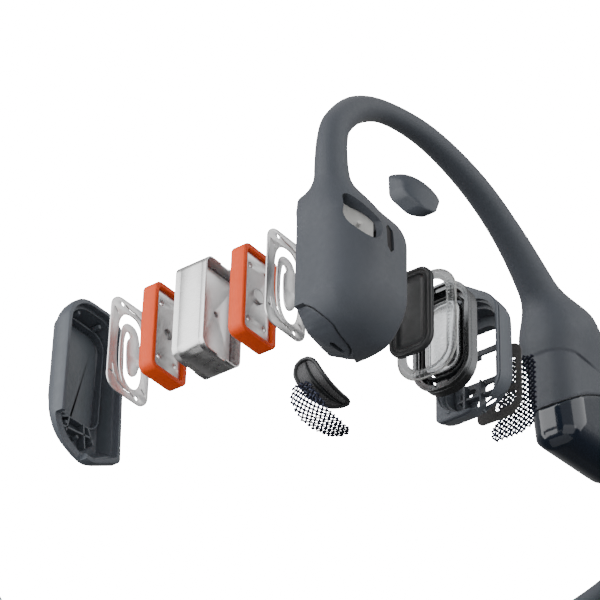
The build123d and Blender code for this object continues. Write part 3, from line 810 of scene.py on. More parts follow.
def make_trays():
    """The glossy lower trays of the battery pods, and the right one's keys and socket."""
    tray = make_tray_form()
    right = tray.copy()
    right.data = tray.data.copy()
    bpy.context.scene.collection.objects.link(right)
    place(tray, crisp=40)
    give(tray, "left_tray", "left_arm", GLOSS, ["left_battery_lower"])
    slots = []
    for y, _ in PANEL_KEYS.values():
        slots.append(prism("key_slot", "z", oblong(3.0, 5.4, 0.9, PANEL_KEY_X, y), -7.0, -3.2))
    socket = prism("socket", "y", oblong(5.4, 3.0, 1.4, HOOK_X, 0.3), 65.0, 75.0)
    cut(right, join("key_slots", *slots), socket)
    place(right, "right", crisp=40)
    give(right, "right_tray", "right_arm", GLOSS, ["right_battery_lower"])
    for node, (y, z) in PANEL_KEYS.items():
        key = ring_loft(node, "z", [(z, oblong(2.6, 5.0, 0.8, PANEL_KEY_X, y, 0.3)),
                                    (z + 0.08, oblong(2.6, 5.0, 0.8, PANEL_KEY_X, y, 0.1)),
                                    (z + 0.25, oblong(2.6, 5.0, 0.8, PANEL_KEY_X, y)),
                                    (z + 1.8, oblong(2.6, 5.0, 0.8, PANEL_KEY_X, y))])
        dimple = prism("dimple", "z", oblong(0.5, 1.8, 0.24, PANEL_KEY_X, y), z - 1, z + 0.08)
        cut(key, dimple)
        place(key, "right")
        body = node.replace("_button", "_key")
        give(key, f"{node}_cap", body, KEY, [node])


def cover_outline(inset=0.0, lift=0.0, steps=8):
    """The skin cover seen along x: a longer rear lower corner, and a lift of its lower end."""
    i = inset
    top, bottom = POD_TOP + 0.5 - i, POD_BOTTOM - 0.5 + i
    corners = [(POD_FRONT - 0.1 + i, top, 4.8 - i / 2), (POD_REAR + 0.5 - i, top, 3.8 - i / 2),
               (7.2 - i - lift * 0.3, -12.9 + i + lift * 0.8, max(1.0 - i / 2, 0.3)),
               (1.2 - lift * 0.2, bottom + lift, 3.4),
               (POD_FRONT - 0.1 + i, -13.6 + i + lift * 1.5, 5.2 + lift * 0.3)]
    return arc_outline(corners, steps)


def make_skin_cover(side):
    """Shallow bowl with a stepped rim, a pocket for the driver, ribs, posts and a vent."""
    inside = [(-3.9, 2.6, 0.9), (-3.9, 2.0, 0.9), (-3.5, 1.5, 0.7), (-1.5, 1.15, 0.1),
              (-1.1, 1.1, 0.0), (-1.05, 0.72, 0.0), (-0.1, 0.7, 0.0), (0.0, 0.6, 0.0)]
    outside = [(0.0, 0.16, 0.0), (-0.05, 0.06, 0.0), (-0.16, 0.0, 0.0), (-1.3, 0.0, 0.0),
               (-2.2, 0.14, 0.25), (-3.0, 0.42, 0.8), (-3.7, 0.85, 1.5), (-4.3, 1.5, 2.2),
               (-4.7, 2.2, 2.7), (-4.92, 2.9, 2.95), (-5.0, 3.6, 3.0)]
    shell = ring_loft("cover_shell", "x", [(h, cover_outline(i, lift))
                                           for h, i, lift in inside + outside])
    cut(shell, fine_cutter("cover_seat", (-4.0, -8.0, -18.0), (1.5, 6.5, -7.0),
                           cover_seat_field))
    pocket = ring_loft("pocket", "x", [
        (-4.0, oblong(9.7, 16.8, 2.5)), (-2.75, oblong(9.7, 16.8, 2.5)),
        (-2.68, oblong(9.6, 16.7, 2.45)), (-2.68, oblong(9.25, 16.35, 2.3)),
        (-2.75, oblong(9.15, 16.25, 2.25)), (-4.0, oblong(9.15, 16.25, 2.25))], ring=True)
    pieces = [shell, pocket]
    for y, z in ((-2.4, 8.7), (2.2, 8.7)):
        pieces.append(bar("post", (-4.0, y, z), (-1.4, y, z), 0.42, 14))
    ribs = [((-2.6, -10.4), (3.6, -9.6)), ((-1.4, -8.2), (-1.9, -10.9)), ((1.6, -8.2), (2.2, -12.0)),
            ((-3.0, -9.0), (-1.6, -8.3)), ((3.9, -10.6), (2.6, -8.3))]
    for (y0, z0), (y1, z1) in ribs:
        pieces.append(rib("rib", (y0, z0), (y1, z1), -4.0, -2.6, 0.3))
    for y, z in ((-2.1, -9.6), (3.6, -10.2), (0.4, -10.9)):
        pieces.append(bar("stud", (-4.0, y, z), (-2.5, y, z), 0.34, 12))
    cover = join("cover", *pieces)
    shift = DRAWN["skin_cover"][0] if side == "left" else -0.02
    place(cover, side, (shift, 0, 0), crisp=32)
    body = "left_cover_body" if side == "left" else "right_arm"
    give(cover, f"{side}_cover", body, COVER, [f"{side}_skin_cover"])


def cover_seat_field(x, y, z):
    """Negative in the sliver of the vent seat that the skin cover carries."""
    turn = np.degrees(np.arctan2(VENT_CENTRE[1] - z, VENT_CENTRE[0] - y))
    inside = np.maximum(np.maximum(8.0 - turn, turn - 100.0) * 0.09, -x - 1.3)
    return np.maximum(inside, -side_field(y, z) - 3.2)


def rib(name, start, end, low, high, thickness):
    """A thin upright wall between two (y, z) points."""
    a, b = Vector(start), Vector(end)
    across = (b - a).normalized().orthogonal() * (thickness / 2)
    outline = [tuple(a - across), tuple(b - across), tuple(b + across), tuple(a + across)]
    return prism(name, "x", outline, low, high)


def rear_outline(inset=0.0, lift=0.0):
    """The rear cover seen along y, its lower end lifted."""
    i = inset
    corners = [(0.05 + i, -11.5 + i + lift, 0.8), (5.0, -11.4 + i + lift, 4.0),
               (POD_DEPTH - i, -8.8 + lift, 4.2), (POD_DEPTH - i, 6.4 - i, 4.4),
               (5.2, 10.4 - i, 1.6), (0.05 + i, 10.0 - i, 2.2)]
    return arc_outline(corners, 8)


def make_rear_cover(side):
    """Rear shell with a stepped rim, windows between ribs, and a pocket for the grille."""
    y0 = POD_REAR + 0.05
    y1 = y0 + 5.0
    shell = ring_loft("rear_shell", "y", [
        (y0, rear_outline(0.14)), (y0 + 0.12, rear_outline(0.0)),
        (y0 + 0.5, rear_outline(0.0)), (y0 + 0.52, rear_outline(0.22)),
        (y0 + 0.75, rear_outline(0.22)), (y0 + 0.8, rear_outline(0.02)),
        (y1 - 2.4, rear_outline(0.04, 0.6)), (y1 - 1.5, rear_outline(0.1, 1.0)),
        (y1 - 0.85, rear_outline(0.24, 1.3)), (y1 - 0.4, rear_outline(0.5, 1.5)),
        (y1 - 0.12, rear_outline(0.85, 1.6)), (y1, rear_outline(1.3, 1.65))])
    pocket = ring_loft("speaker_pocket", "y", [
        (y0 - 1, oblong(10.3, 18.3, 4.6, SPEAKER_X, SPEAKER_Z)),
        (y0 + 0.55, oblong(10.3, 18.3, 4.6, SPEAKER_X, SPEAKER_Z)),
        (y0 + 0.6, oblong(9.8, 17.8, 4.4, SPEAKER_X, SPEAKER_Z)),
        (y0 + 1.6, oblong(9.8, 17.8, 4.4, SPEAKER_X, SPEAKER_Z)),
        (y0 + 1.65, oblong(9.3, 16.6, 4.0, SPEAKER_X, SPEAKER_Z)),
        (y1 - 1.25, oblong(9.2, 16.5, 3.9, SPEAKER_X, SPEAKER_Z))])
    windows = [prism("window", "y", arc_outline(corners, 5), y0, y1 + 1) for corners in (
        [(1.9, 1.0, 0.8), (8.4, 1.0, 0.8), (8.4, 4.6, 1.6), (1.9, 4.6, 1.6)],
        [(1.9, -4.3, 0.8), (8.4, -4.3, 0.8), (8.4, 0.1, 0.6), (1.9, 0.1, 0.6)],
        [(1.9, -5.2, 0.5), (1.9, -7.6, 0.7), (5.4, -5.2, 0.4)],
        [(3.6, -9.1, 0.9), (8.2, -8.6, 1.2), (8.4, -5.2, 0.6), (6.3, -5.2, 0.4)])]
    seat = prism("grille_seat", "y", outlet_outline(-0.15), y1 - 0.85, y1 + 1)
    cut(shell, pocket, join("windows", *windows), seat)
    pieces = [shell]
    floor = y1 - 1.3
    for x in (3.2, 6.0):
        pieces.append(prism("spine", "y", oblong(0.35, 5.0, 0.1, x, -7.4), floor - 1.1, floor + 0.2))
    pieces.append(prism("spine", "y", oblong(6.8, 0.35, 0.1, SPEAKER_X, -7.3), floor - 0.9,
                        floor + 0.2))
    pieces.append(bar("peg", (2.3, y0 - 0.15, -10.4), (2.3, y0 + 2.2, -10.4), 0.38))
    cover = join("rear", *pieces)
    shift = DRAWN["rear_cover"][1] if side == "left" else 0.0
    place(cover, side, (0, shift, 0), crisp=32)
    body = "left_rear_cover_body" if side == "left" else "right_arm"
    give(cover, f"{side}_rear", body, COVER, [f"{side}_rear_cover"])


def outlet_outline(inset=0.0, raised=0.0, steps=6):
    """The hooked outlet, seen along y: upright at the outer side, turning in at its foot."""
    i = inset
    foot = -9.4 + raised
    corners = [(5.0 + i, 3.6 - i, 1.2), (9.4 - i, 3.6 - i, 1.6), (9.4 - i, foot + i, 3.0),
               (1.6 + i, foot + i, 1.2), (1.6 + i, foot + 3.0 - i, 1.2),
               (5.0 + i, foot + 3.0 - i, 0.8)]
    return arc_outline(corners, steps)


def grille_outline():
    """The wire grille over the outlet: broader than its pad."""
    return arc_outline([(2.9, 3.6, 1.8), (9.4, 3.6, 1.6), (9.4, -9.4, 3.0), (1.6, -9.4, 1.2),
                        (1.6, -6.4, 1.2), (2.9, -6.0, 0.6)], 6)


# ------------------------------------------------------------------ bone driver
DRAWN = {  # how far each left piece is drawn out at rest
    "skin_cover": (-41.7, 0, 0), "spring_inner": (-31.7, 0, 0), "coil_inner": (-26.6, 0, 0),
    "magnet_case": (-21.0, 0, 0), "coil_outer": (-15.2, 0, 0), "spring_outer": (-10.95, 0, 0),
    "speaker_diaphragm": (0, 8.4, 0), "speaker_surround": (0, 10.6, 0),
    "speaker": (0, 13.6, 0), "rear_cover": (0, 21.0, 0), "outlet_pad": (0, 25.0, 0),
    "outlet_grille": (0, 28.0, 0),
    "membrane": (0, 0, -8.0), "vent_grille": (0, 0, -12.0), "button": (9.0, 0, 0),
}


def put(obj, side, place_name, piece_name, material, nodes=(), crisp=38):
    """Places a piece where its part stands and lets it ride on that part's body."""
    if side == "left":
        offset, body = DRAWN[place_name], f"left_{place_name}_body"
        body = body.replace("magnet_case", "magnet").replace("speaker_d", "d")
        body = body.replace("speaker_surround", "surround")
    else:
        offset, body = (0, 0, 0), "right_arm"
    place(obj, side, offset, crisp)
    return give(obj, f"{side}_{piece_name}", body, material, nodes)


def rounded_ring(name, axis, outer, inner, low, high, edge=0.12):
    """A ring with softened rims, from outlines given as functions of an inset."""
    stations = [(low + edge, outer(0)), (low, outer(edge)), (low, inner(-edge)),
                (low + edge, inner(0)), (high - edge, inner(0)), (high, inner(-edge)),
                (high, outer(edge)), (high - edge, outer(0))]
    return ring_loft(name, axis, stations, ring=True)


def make_coil(side, which, x):
    """Lacquered coil with stepped winding layers on its faces, and its steel plate."""
    def outer(inset):
        return oblong(7.7, 14.9, 1.3, inset=inset)

    def inner(inset):
        return oblong(6.0, 13.2, 0.6, inset=inset)

    end = x + 2.5
    stations = [(x + 0.14, outer(0)), (x + 0.03, outer(0.06)), (x, outer(0.17)),
                (x, outer(0.33)), (x + 0.05, outer(0.36)), (x + 0.05, outer(0.42)),
                (x, outer(0.45)), (x, inner(-0.14)), (x + 0.1, inner(0)),
                (end - 0.1, inner(0)), (end, inner(-0.14)), (end, outer(0.45)),
                (end - 0.05, outer(0.42)), (end - 0.05, outer(0.36)), (end, outer(0.33)),
                (end, outer(0.17)), (end - 0.03, outer(0.06)), (end - 0.14, outer(0))]
    coil = ring_loft("coil", "x", stations, ring=True)
    nodes = [f"left_coil_{which}"] if side == "left" else []
    put(coil, side, f"coil_{which}", f"coil_{which}", ORANGE, nodes, crisp=50)
    holes = [oblong(0.84, 0.84, 0.41, sy * 1.75, sz * 4.5, steps=5)
             for sy in (-1, 1) for sz in (-1, 1)]
    if which == "inner":
        holes.append(oblong(1.7, 1.7, 0.84, 0, 0, steps=6))
    face = end - 0.55
    plate = flat_plate("plate", "x", oblong(5.85, 13.05, 0.5), holes, face - 0.6, face, 0.07)
    if which == "outer":
        boss = ring_loft("boss", "x", [(face - 0.05, oblong(2.4, 2.4, 1.19, steps=6)),
                                       (face + 0.36, oblong(2.4, 2.4, 1.19, steps=6)),
                                       (face + 0.45, oblong(2.2, 2.2, 1.09, steps=6)),
                                       (face + 0.45, oblong(1.9, 1.9, 0.94, steps=6)),
                                       (face + 0.38, oblong(1.8, 1.8, 0.89, steps=6))])
        plate = join("plate", plate, boss)
    else:
        plate = join("plate", plate, prism("blind", "x", oblong(2.3, 2.3, 1.14), face - 0.85,
                                           face - 0.6))
    nodes = [f"left_plate_{which}"] if side == "left" else []
    put(plate, side, f"coil_{which}", f"plate_{which}", PLATE_STEEL, nodes, 30)


def make_case(side):
    """Drawn steel sleeve with rolled rims, notched, and the plated magnet block inside."""
    x0, x1 = -2.1, 3.6

    def wall(inset):
        return oblong(8.4, 15.6, 1.5, inset=inset, steps=10)

    case = ring_loft("case", "x", [
        (x0 + 0.06, wall(0)), (x0, wall(0.06)), (x0, wall(0.19)), (x0 + 0.06, wall(0.25)),
        (x1 - 0.06, wall(0.25)), (x1, wall(0.19)), (x1, wall(0.06)), (x1 - 0.06, wall(0)),
        (x1 - 0.85, wall(0)), (x1 - 0.9, wall(0.035)), (x1 - 0.97, wall(0.035)),
        (x1 - 1.02, wall(0)), (x0 + 1.02, wall(0)), (x0 + 0.97, wall(0.035)),
        (x0 + 0.9, wall(0.035)), (x0 + 0.85, wall(0))], ring=True)
    notches = [prism("notch", "z", oblong(0.5, 1.9, 0.15, x, 0.0, steps=2), -9, 9)
               for x in (x0, x1)]
    cut(case, join("notches", *notches))
    put(case, side, "magnet_case", "magnet_case", STEEL,
        [f"{side}_magnet_case"], 40)

    def block(inset):
        return oblong(7.84, 15.04, 1.2, inset=inset)

    m0, m1 = x0 + 1.75, x1 - 1.75
    magnet = ring_loft("magnet", "x", [
        (m0, block(0.5)), (m0, block(0.24)), (m0 + 0.05, block(0.12)), (m0 + 0.2, block(0)),
        (m1 - 0.2, block(0)), (m1 - 0.05, block(0.12)), (m1, block(0.24)), (m1, block(0.5))])
    put(magnet, side, "magnet_case", "magnet", NICKEL, [f"{side}_magnet"], 40)
    for x, lift in ((m0, -1), (m1, 1)):
        plate = flat_plate("pole", "x", oblong(6.6, 13.9, 0.9), [oblong(0.9, 0.9, 0.44)],
                           min(x, x + lift * 0.35), max(x, x + lift * 0.35), 0.05)
        put(plate, side, "magnet_case", f"pole_{'inner' if lift < 0 else 'outer'}", PLATE_STEEL)


def slit(points, width):
    """A thin closed outline either side of a run of points, rounded at its ends."""
    path = [Vector(p) for p in points]
    left, right = [], []
    for i, here in enumerate(path):
        along_it = (path[min(i + 1, len(path) - 1)] - path[max(i - 1, 0)]).normalized()
        across = Vector((-along_it.y, along_it.x)) * width / 2
        left.append(tuple(here + across))
        right.append(tuple(here - across))
    tip = path[-1] + (path[-1] - path[-2]).normalized() * width / 2
    tail = path[0] - (path[1] - path[0]).normalized() * width / 2
    return [*left, tuple(tip), *right[::-1], tuple(tail)]


SPRING_ARM_GAPS = [  # the two long openings of a spring, each round an arm, as (y, z)
    [(2.5, -0.5), (2.75, 1.5), (2.5, 4.0), (1.5, 5.6), (0.0, 6.0), (-1.5, 5.5), (-2.45, 4.0),
     (-2.75, 1.5), (-2.75, -1.5), (-2.5, -3.6), (-1.85, -5.1), (-1.0, -6.0), (-1.25, -5.4),
     (-1.85, -4.0), (-2.1, -2.0), (-2.1, 1.0), (-1.8, 3.2), (-1.1, 4.2), (0.0, 4.45), (1.1, 4.1),
     (1.85, 2.8), (2.1, 0.8), (2.15, -0.3)],
    [(-0.45, 3.0), (-0.95, 2.6), (-1.25, 1.2), (-1.35, -1.0), (-1.3, -3.0), (-0.9, -4.7),
     (0.1, -5.8), (1.3, -5.9), (2.3, -5.0), (2.75, -3.4), (2.7, -2.0), (2.4, -1.6), (2.05, -2.2),
     (1.75, -3.2), (1.0, -3.9), (0.2, -3.9), (-0.35, -3.0), (-0.6, -1.2), (-0.65, 0.6),
     (-0.45, 1.7), (-0.05, 2.3)],
]


def smooth_loop(points, steps=4):
    """A closed Catmull-Rom outline through points."""
    count, found = len(points), []
    for i in range(count):
        a, b, c, d = (Vector(points[(i + k) % count]) for k in (-1, 0, 1, 2))
        for step in range(steps):
            t = step / steps
            found.append(tuple(0.5 * (2 * b + (c - a) * t + (2 * a - 5 * b + 4 * c - d) * t * t
                                      + (3 * b - a - 3 * c + d) * t ** 3)))
    return found


def make_spring(side, which, x):
    """Etched flat spring: two long openings round its arms and tongue, slits, drop holes."""
    holes = [smooth_loop(points) for points in SPRING_ARM_GAPS]
    for turned in (1, -1):
        sweep = [(-1.5, 7.15), (-0.6, 6.85), (0.8, 6.8), (2.1, 6.3), (3.1, 5.2), (3.5, 3.9)]
        holes.append(slit([(u * turned, v * turned) for u, v in sweep], 0.24))
        holes.append(slit([(-3.75 * turned, 5.7 * turned), (-3.0 * turned, 5.1 * turned)], 0.24))
        holes.append(slit([(-4.0 * turned, -5.2 * turned), (-3.2 * turned, -5.4 * turned)], 0.22))
        holes.append(oblong(0.7, 0.7, 0.34, -2.05 * turned, 7.05 * turned, steps=5))
    plate = flat_plate("spring", "x", oblong(8.9, 16.0, 2.2), holes, x, x + 0.25, 0.035)
    nodes = [f"left_spring_{which}"] if side == "left" else []
    put(plate, side, f"spring_{which}", f"spring_{which}", SPRING, nodes, 30)


def make_driver(side):
    """Spring, coil, magnet case, coil, spring."""
    make_spring(side, "inner", -3.3)
    make_coil(side, "inner", -2.9)
    make_case(side)
    make_coil(side, "outer", 1.9)
    make_spring(side, "outer", 4.55)


# ------------------------------------------------------------------ air speaker
def around_speaker(width, height, radius, steps=10):
    """An oblong about the speaker's axis, as a function of its inset."""
    return lambda inset: oblong(width, height, radius, SPEAKER_X, SPEAKER_Z, inset, steps)


def make_diaphragm(side):
    """Dished black face in a rounded frame with a groove round it."""
    y = 4.7
    rim = around_speaker(7.3, 14.0, 2.4)
    frame_ring = ring_loft("diaphragm", "y", [
        (y + 0.9, rim(0.9)), (y + 0.9, rim(0.16)), (y + 0.78, rim(0.02)), (y + 0.5, rim(0)),
        (y + 0.44, rim(0.1)), (y + 0.34, rim(0.1)), (y + 0.28, rim(0)), (y + 0.14, rim(0.02)),
        (y + 0.02, rim(0.14)), (y, rim(0.28)), (y, rim(0.52)), (y + 0.05, rim(0.6)),
        (y + 0.16, rim(0.66)), (y + 0.18, rim(0.86)), (y + 0.1, rim(0.98)),
        (y + 0.1, rim(1.12)), (y + 0.42, rim(1.3)), (y + 0.44, rim(2.2))])
    put(frame_ring, side, "speaker_diaphragm", "speaker_diaphragm", BLACK,
        [f"{side}_speaker_diaphragm"], 60)


SURROUND_SIZE = (10.1, 17.8, 4.4)     # width, height, corner radius
RIPPLE_PITCH = 0.16                   # spacing of the points that carry the radial ribs


def make_surround(side):
    """Clear embossed ring: a rolled tube with fine radial ribs, and flat inner and outer lips."""
    rows = 14
    verts, faces = [], []
    base = around_speaker(*SURROUND_SIZE)(0)
    ring = []
    for a, b in zip(base, base[1:] + base[:1]):
        span = max(1, round(math.dist(a, b) / RIPPLE_PITCH))
        ring += [(a[0] + (b[0] - a[0]) * k / span, a[1] + (b[1] - a[1]) * k / span)
                 for k in range(span)]
    count = len(ring)
    normals = []
    for i in range(count):
        a, b = Vector(ring[i - 2]), Vector(ring[(i + 2) % count])
        run = (b - a).normalized()
        normals.append(Vector((run.y, -run.x)))
    centre = Vector((SPEAKER_X, SPEAKER_Z))
    normals = [n if n.dot(Vector(p) - centre) > 0 else -n for n, p in zip(normals, ring)]
    profile = []
    for k in range(rows + 1):
        t = k / rows
        bulge = math.sin(math.pi * min(1, max(0, (t - 0.12) / 0.76)))
        profile.append((1.62 * t, 0.56 * bulge))
    sheet = 0.14
    rings = [(w, h) for w, h in profile] + [(w, h + sheet) for w, h in reversed(profile)]
    y0 = 5.92
    for inset, height in rings:
        for i, (p, n) in enumerate(zip(ring, normals)):
            ripple = 0.035 * math.sin(2 * math.pi * i / 4) * math.sin(
                math.pi * min(1, inset / 1.62))
            q = Vector(p) - n * inset
            verts.append(along("y", y0 + 0.66 - height - ripple + 0.08, tuple(q)))
    total = len(rings)
    for row in range(total):
        for i in range(count):
            j, up = (i + 1) % count, (row + 1) % total
            faces.append((row * count + i, row * count + j, up * count + j, up * count + i))
    surround = mesh_object("surround", verts, faces)
    put(surround, side, "speaker_surround", "speaker_surround", CLEAR,
        [f"{side}_speaker_surround"], 70)


def make_surround_lip(side):
    """The surround's pale bead round its outer edge."""
    rim = around_speaker(*SURROUND_SIZE)
    lip = rounded_ring("lip", "y", rim, lambda inset: rim(0.22 + inset), 6.52, 6.8, 0.06)
    put(lip, side, "speaker_surround", "surround_lip", PALE)


def make_basket(side):
    """Layered blackened basket with clips, with the magnet plate, coil and black ring in it."""
    y = 6.9
    rim = around_speaker(9.7, 17.7, 4.3)
    basket = ring_loft("basket", "y", [
        (y + 0.04, rim(0)), (y, rim(0.05)), (y, rim(0.42)), (y + 0.08, rim(0.46)),
        (y + 0.08, rim(0.6)), (y + 0.34, rim(0.64)), (y + 0.34, rim(0.95)),
        (y + 0.6, rim(1.0)), (y + 1.9, rim(1.0)), (y + 2.1, rim(1.6)), (y + 2.6, rim(1.6)),
        (y + 2.6, rim(0.32)), (y + 2.5, rim(0.22)), (y + 1.1, rim(0.22)), (y + 1.04, rim(0.3)),
        (y + 0.92, rim(0.3)), (y + 0.86, rim(0.12)), (y + 0.66, rim(0.12)),
        (y + 0.62, rim(0.26)), (y + 0.5, rim(0.26)), (y + 0.46, rim(0.0))], ring=True)
    clips = [prism("clip", "y", oblong(2.4, 1.0, 0.25, SPEAKER_X, SPEAKER_Z + dz), y - 1, y + 4)
             for dz in (-7.9, 7.9)]
    cut(basket, join("clips", *clips))
    tabs = [ring_loft("tab", "y", [(y + 0.3, oblong(1.9, 0.6, 0.2, SPEAKER_X, SPEAKER_Z + dz)),
                                   (y + 0.9, oblong(2.1, 0.7, 0.2, SPEAKER_X, SPEAKER_Z + dz)),
                                   (y + 2.4, oblong(2.1, 0.7, 0.2, SPEAKER_X, SPEAKER_Z + dz))])
            for dz in (-7.95, 7.95)]
    basket = join("basket", basket, *tabs)
    put(basket, side, "speaker", "speaker_basket", BASKET,
        [f"{side}_speaker_frame"], 35)
    oval = around_speaker(6.0, 12.0, 2.5)
    magnet = ring_loft("speaker_magnet", "y", [
        (y + 2.0, oval(0.0)), (y + 0.62, oval(0.0)), (y + 0.5, oval(0.08)), (y + 0.48, oval(0.2)),
        (y + 0.55, oval(0.3)), (y + 0.8, oval(0.4)), (y + 0.82, oval(0.62)),
        (y + 0.72, oval(0.75)), (y + 0.66, oval(1.0)), (y + 0.62, oval(1.9))])
    put(magnet, side, "speaker", "speaker_magnet", NICKEL,
        [f"{side}_speaker_magnet"], 35)
    coil = rounded_ring("speaker_coil", "y", around_speaker(7.5, 13.4, 2.9),
                        around_speaker(6.9, 12.7, 2.6), y + 0.55, y + 1.9, 0.08)
    put(coil, side, "speaker", "speaker_coil", BLACK,
        [f"{side}_speaker_coil"], 50)


def inside_outline(point, outline):
    """Whether a point lies inside a closed outline."""
    u, v = point
    found = False
    for (u0, v0), (u1, v1) in zip(outline, outline[1:] + outline[:1]):
        if (v0 > v) != (v1 > v) and u < (u1 - u0) * (v - v0) / (v1 - v0) + u0:
            found = not found
    return found


def woven(name, outline, pitch, radius, lift, angle=45.0, sides=5):
    """Woven wires that fill an outline: two families passing over and under each other.
    lift(u, v, h) gives the point h above the sheet at (u, v)."""
    turn = math.radians(angle)
    axis_a = Vector((math.cos(turn), math.sin(turn)))
    axis_b = Vector((-math.sin(turn), math.cos(turn)))
    us, vs = [p[0] for p in outline], [p[1] for p in outline]
    middle = Vector(((min(us) + max(us)) / 2, (min(vs) + max(vs)) / 2))
    reach = math.hypot(max(us) - min(us), max(vs) - min(vs)) / 2
    lines = int(reach / pitch) + 1
    verts, faces = [], []
    for family, (run, across) in enumerate(((axis_a, axis_b), (axis_b, axis_a))):
        for line in range(-lines, lines + 1):
            strand = []
            for step in range(-2 * lines, 2 * lines + 1):
                at = middle + across * line * pitch + run * step * pitch / 2
                if inside_outline(at, outline):
                    weave = math.cos(math.pi * (step / 2 + line + family))
                    strand.append((at, weave * radius * 0.95))
                elif strand:
                    wire(verts, faces, strand, across, radius, lift, sides)
                    strand = []
            if strand:
                wire(verts, faces, strand, across, radius, lift, sides)
    return mesh_object(name, verts, faces)


def wire(verts, faces, strand, across, radius, lift, sides):
    """Adds one wire of a weave to a mesh being built."""
    if len(strand) < 2:
        return
    first = len(verts)
    for at, height in strand:
        for k in range(sides):
            angle = 2 * math.pi * k / sides
            spot = at + across * radius * math.cos(angle)
            verts.append(lift(spot.x, spot.y, height + radius * math.sin(angle)))
    for row in range(len(strand) - 1):
        for k in range(sides):
            m = (k + 1) % sides
            faces.append((first + row * sides + k, first + row * sides + m,
                          first + (row + 1) * sides + m, first + (row + 1) * sides + k))
    faces.append(tuple(first + k for k in range(sides)))
    faces.append(tuple(first + (len(strand) - 1) * sides + k for k in range(sides)))


def make_outlet(side):
    """Outlet pad with two open windows of cloth, and the woven wire grille behind it."""
    y = 9.95
    nodes = {"left": [["left_outlet_pad"], ["left_outlet_grille"]], "right": [[], []]}[side]
    windows = [arc_outline([(5.9, 1.2, 0.5), (8.4, 1.2, 0.5), (8.4, -3.4, 0.5),
                            (5.9, -3.4, 0.5)], 4),
               arc_outline([(5.9, -4.4, 0.4), (8.4, -4.4, 0.4), (8.2, -6.6, 0.9),
                            (4.6, -7.1, 0.5), (4.8, -5.9, 0.5)], 4)]
    pad = flat_plate("pad", "y", outlet_outline(0.0, 0.9), windows, y, y + 0.25, 0.04)
    put(pad, side, "outlet_pad", "outlet_pad", PAD_GREY, nodes[0], 40)
    fine = 0.3
    for k, window in enumerate(windows):
        cloth = woven("cloth", window, fine, 0.055,
                      lambda u, v, h: (u, y + 0.12 + h, v), 40.0, 4)
        put(cloth, side, "outlet_pad", f"outlet_cloth_{k}", BLACK)
    pitch = 0.60
    grille = woven("grille", grille_outline(), pitch, 0.175,
                   lambda u, v, h: (u, 10.62 + h, v), 45.0)
    put(grille, side, "outlet_grille", "outlet_grille", WIRE_MESH, nodes[1], 60)


def vent_point(turn, across, depth):
    """A point of the vent strip: across goes from 0 at its medial edge to 1 at the other."""
    y, z = vent_path(turn, depth)
    low, high = vent_edges(turn)
    return float(low + (high - low) * across), y, z


def vent_loop(inset, depth, count=26):
    """Points round the strip's outline, inset by a share of its width."""
    turns = np.linspace(VENT_STATIONS[0][0] + inset * 14, VENT_STATIONS[-1][0] - inset * 10, count)
    loop = [vent_point(t, 1 - inset, depth) for t in turns]
    return loop + [vent_point(t, inset, depth) for t in turns[::-1]]


def vent_sheet(name, inset, depth, bowl, thickness, rows=30, columns=10):
    """A closed curved sheet that fills the strip, sunk by bowl along its middle."""
    turns = np.linspace(VENT_STATIONS[0][0] + inset * 14, VENT_STATIONS[-1][0] - inset * 10, rows)
    verts, faces = [], []
    for layer in (0.0, thickness):
        for t in turns:
            for k in range(columns + 1):
                q = k / columns
                sink = bowl * math.sin(math.pi * q) ** 0.7
                verts.append(vent_point(t, inset + (1 - 2 * inset) * q, depth + sink + layer))
    width, size = columns + 1, rows * (columns + 1)
    for i in range(rows - 1):
        for k in range(columns):
            a = i * width + k
            faces += [(a, a + 1, a + width + 1, a + width),
                      (size + a, size + a + 1, size + a + width + 1, size + a + width)]
    rim = (list(range(width)) + [i * width + columns for i in range(1, rows)]
           + [(rows - 1) * width + k for k in range(columns - 1, -1, -1)]
           + [i * width for i in range(rows - 2, 0, -1)])
    for a, b in zip(rim, rim[1:] + rim[:1]):
        faces.append((a, b, size + b, size + a))
    return mesh_object(name, verts, faces)


def closed_tube(name, points, radius, sides=10):
    """A tube round a closed run of points."""
    path = [Vector(p) for p in points]
    count = len(path)
    centre = sum(path, Vector()) / count
    verts, faces = [], []
    for i, here in enumerate(path):
        tangent = (path[(i + 1) % count] - path[i - 1]).normalized()
        side = (here - centre).cross(tangent).normalized()
        lift = side.cross(tangent)
        for k in range(sides):
            angle = 2 * math.pi * k / sides
            verts.append(here + (side * math.cos(angle) + lift * math.sin(angle)) * radius)
    for i in range(count):
        j = (i + 1) % count
        for k in range(sides):
            m = (k + 1) % sides
            faces.append((i * sides + k, i * sides + m, j * sides + m, j * sides + k))
    return mesh_object(name, verts, faces)


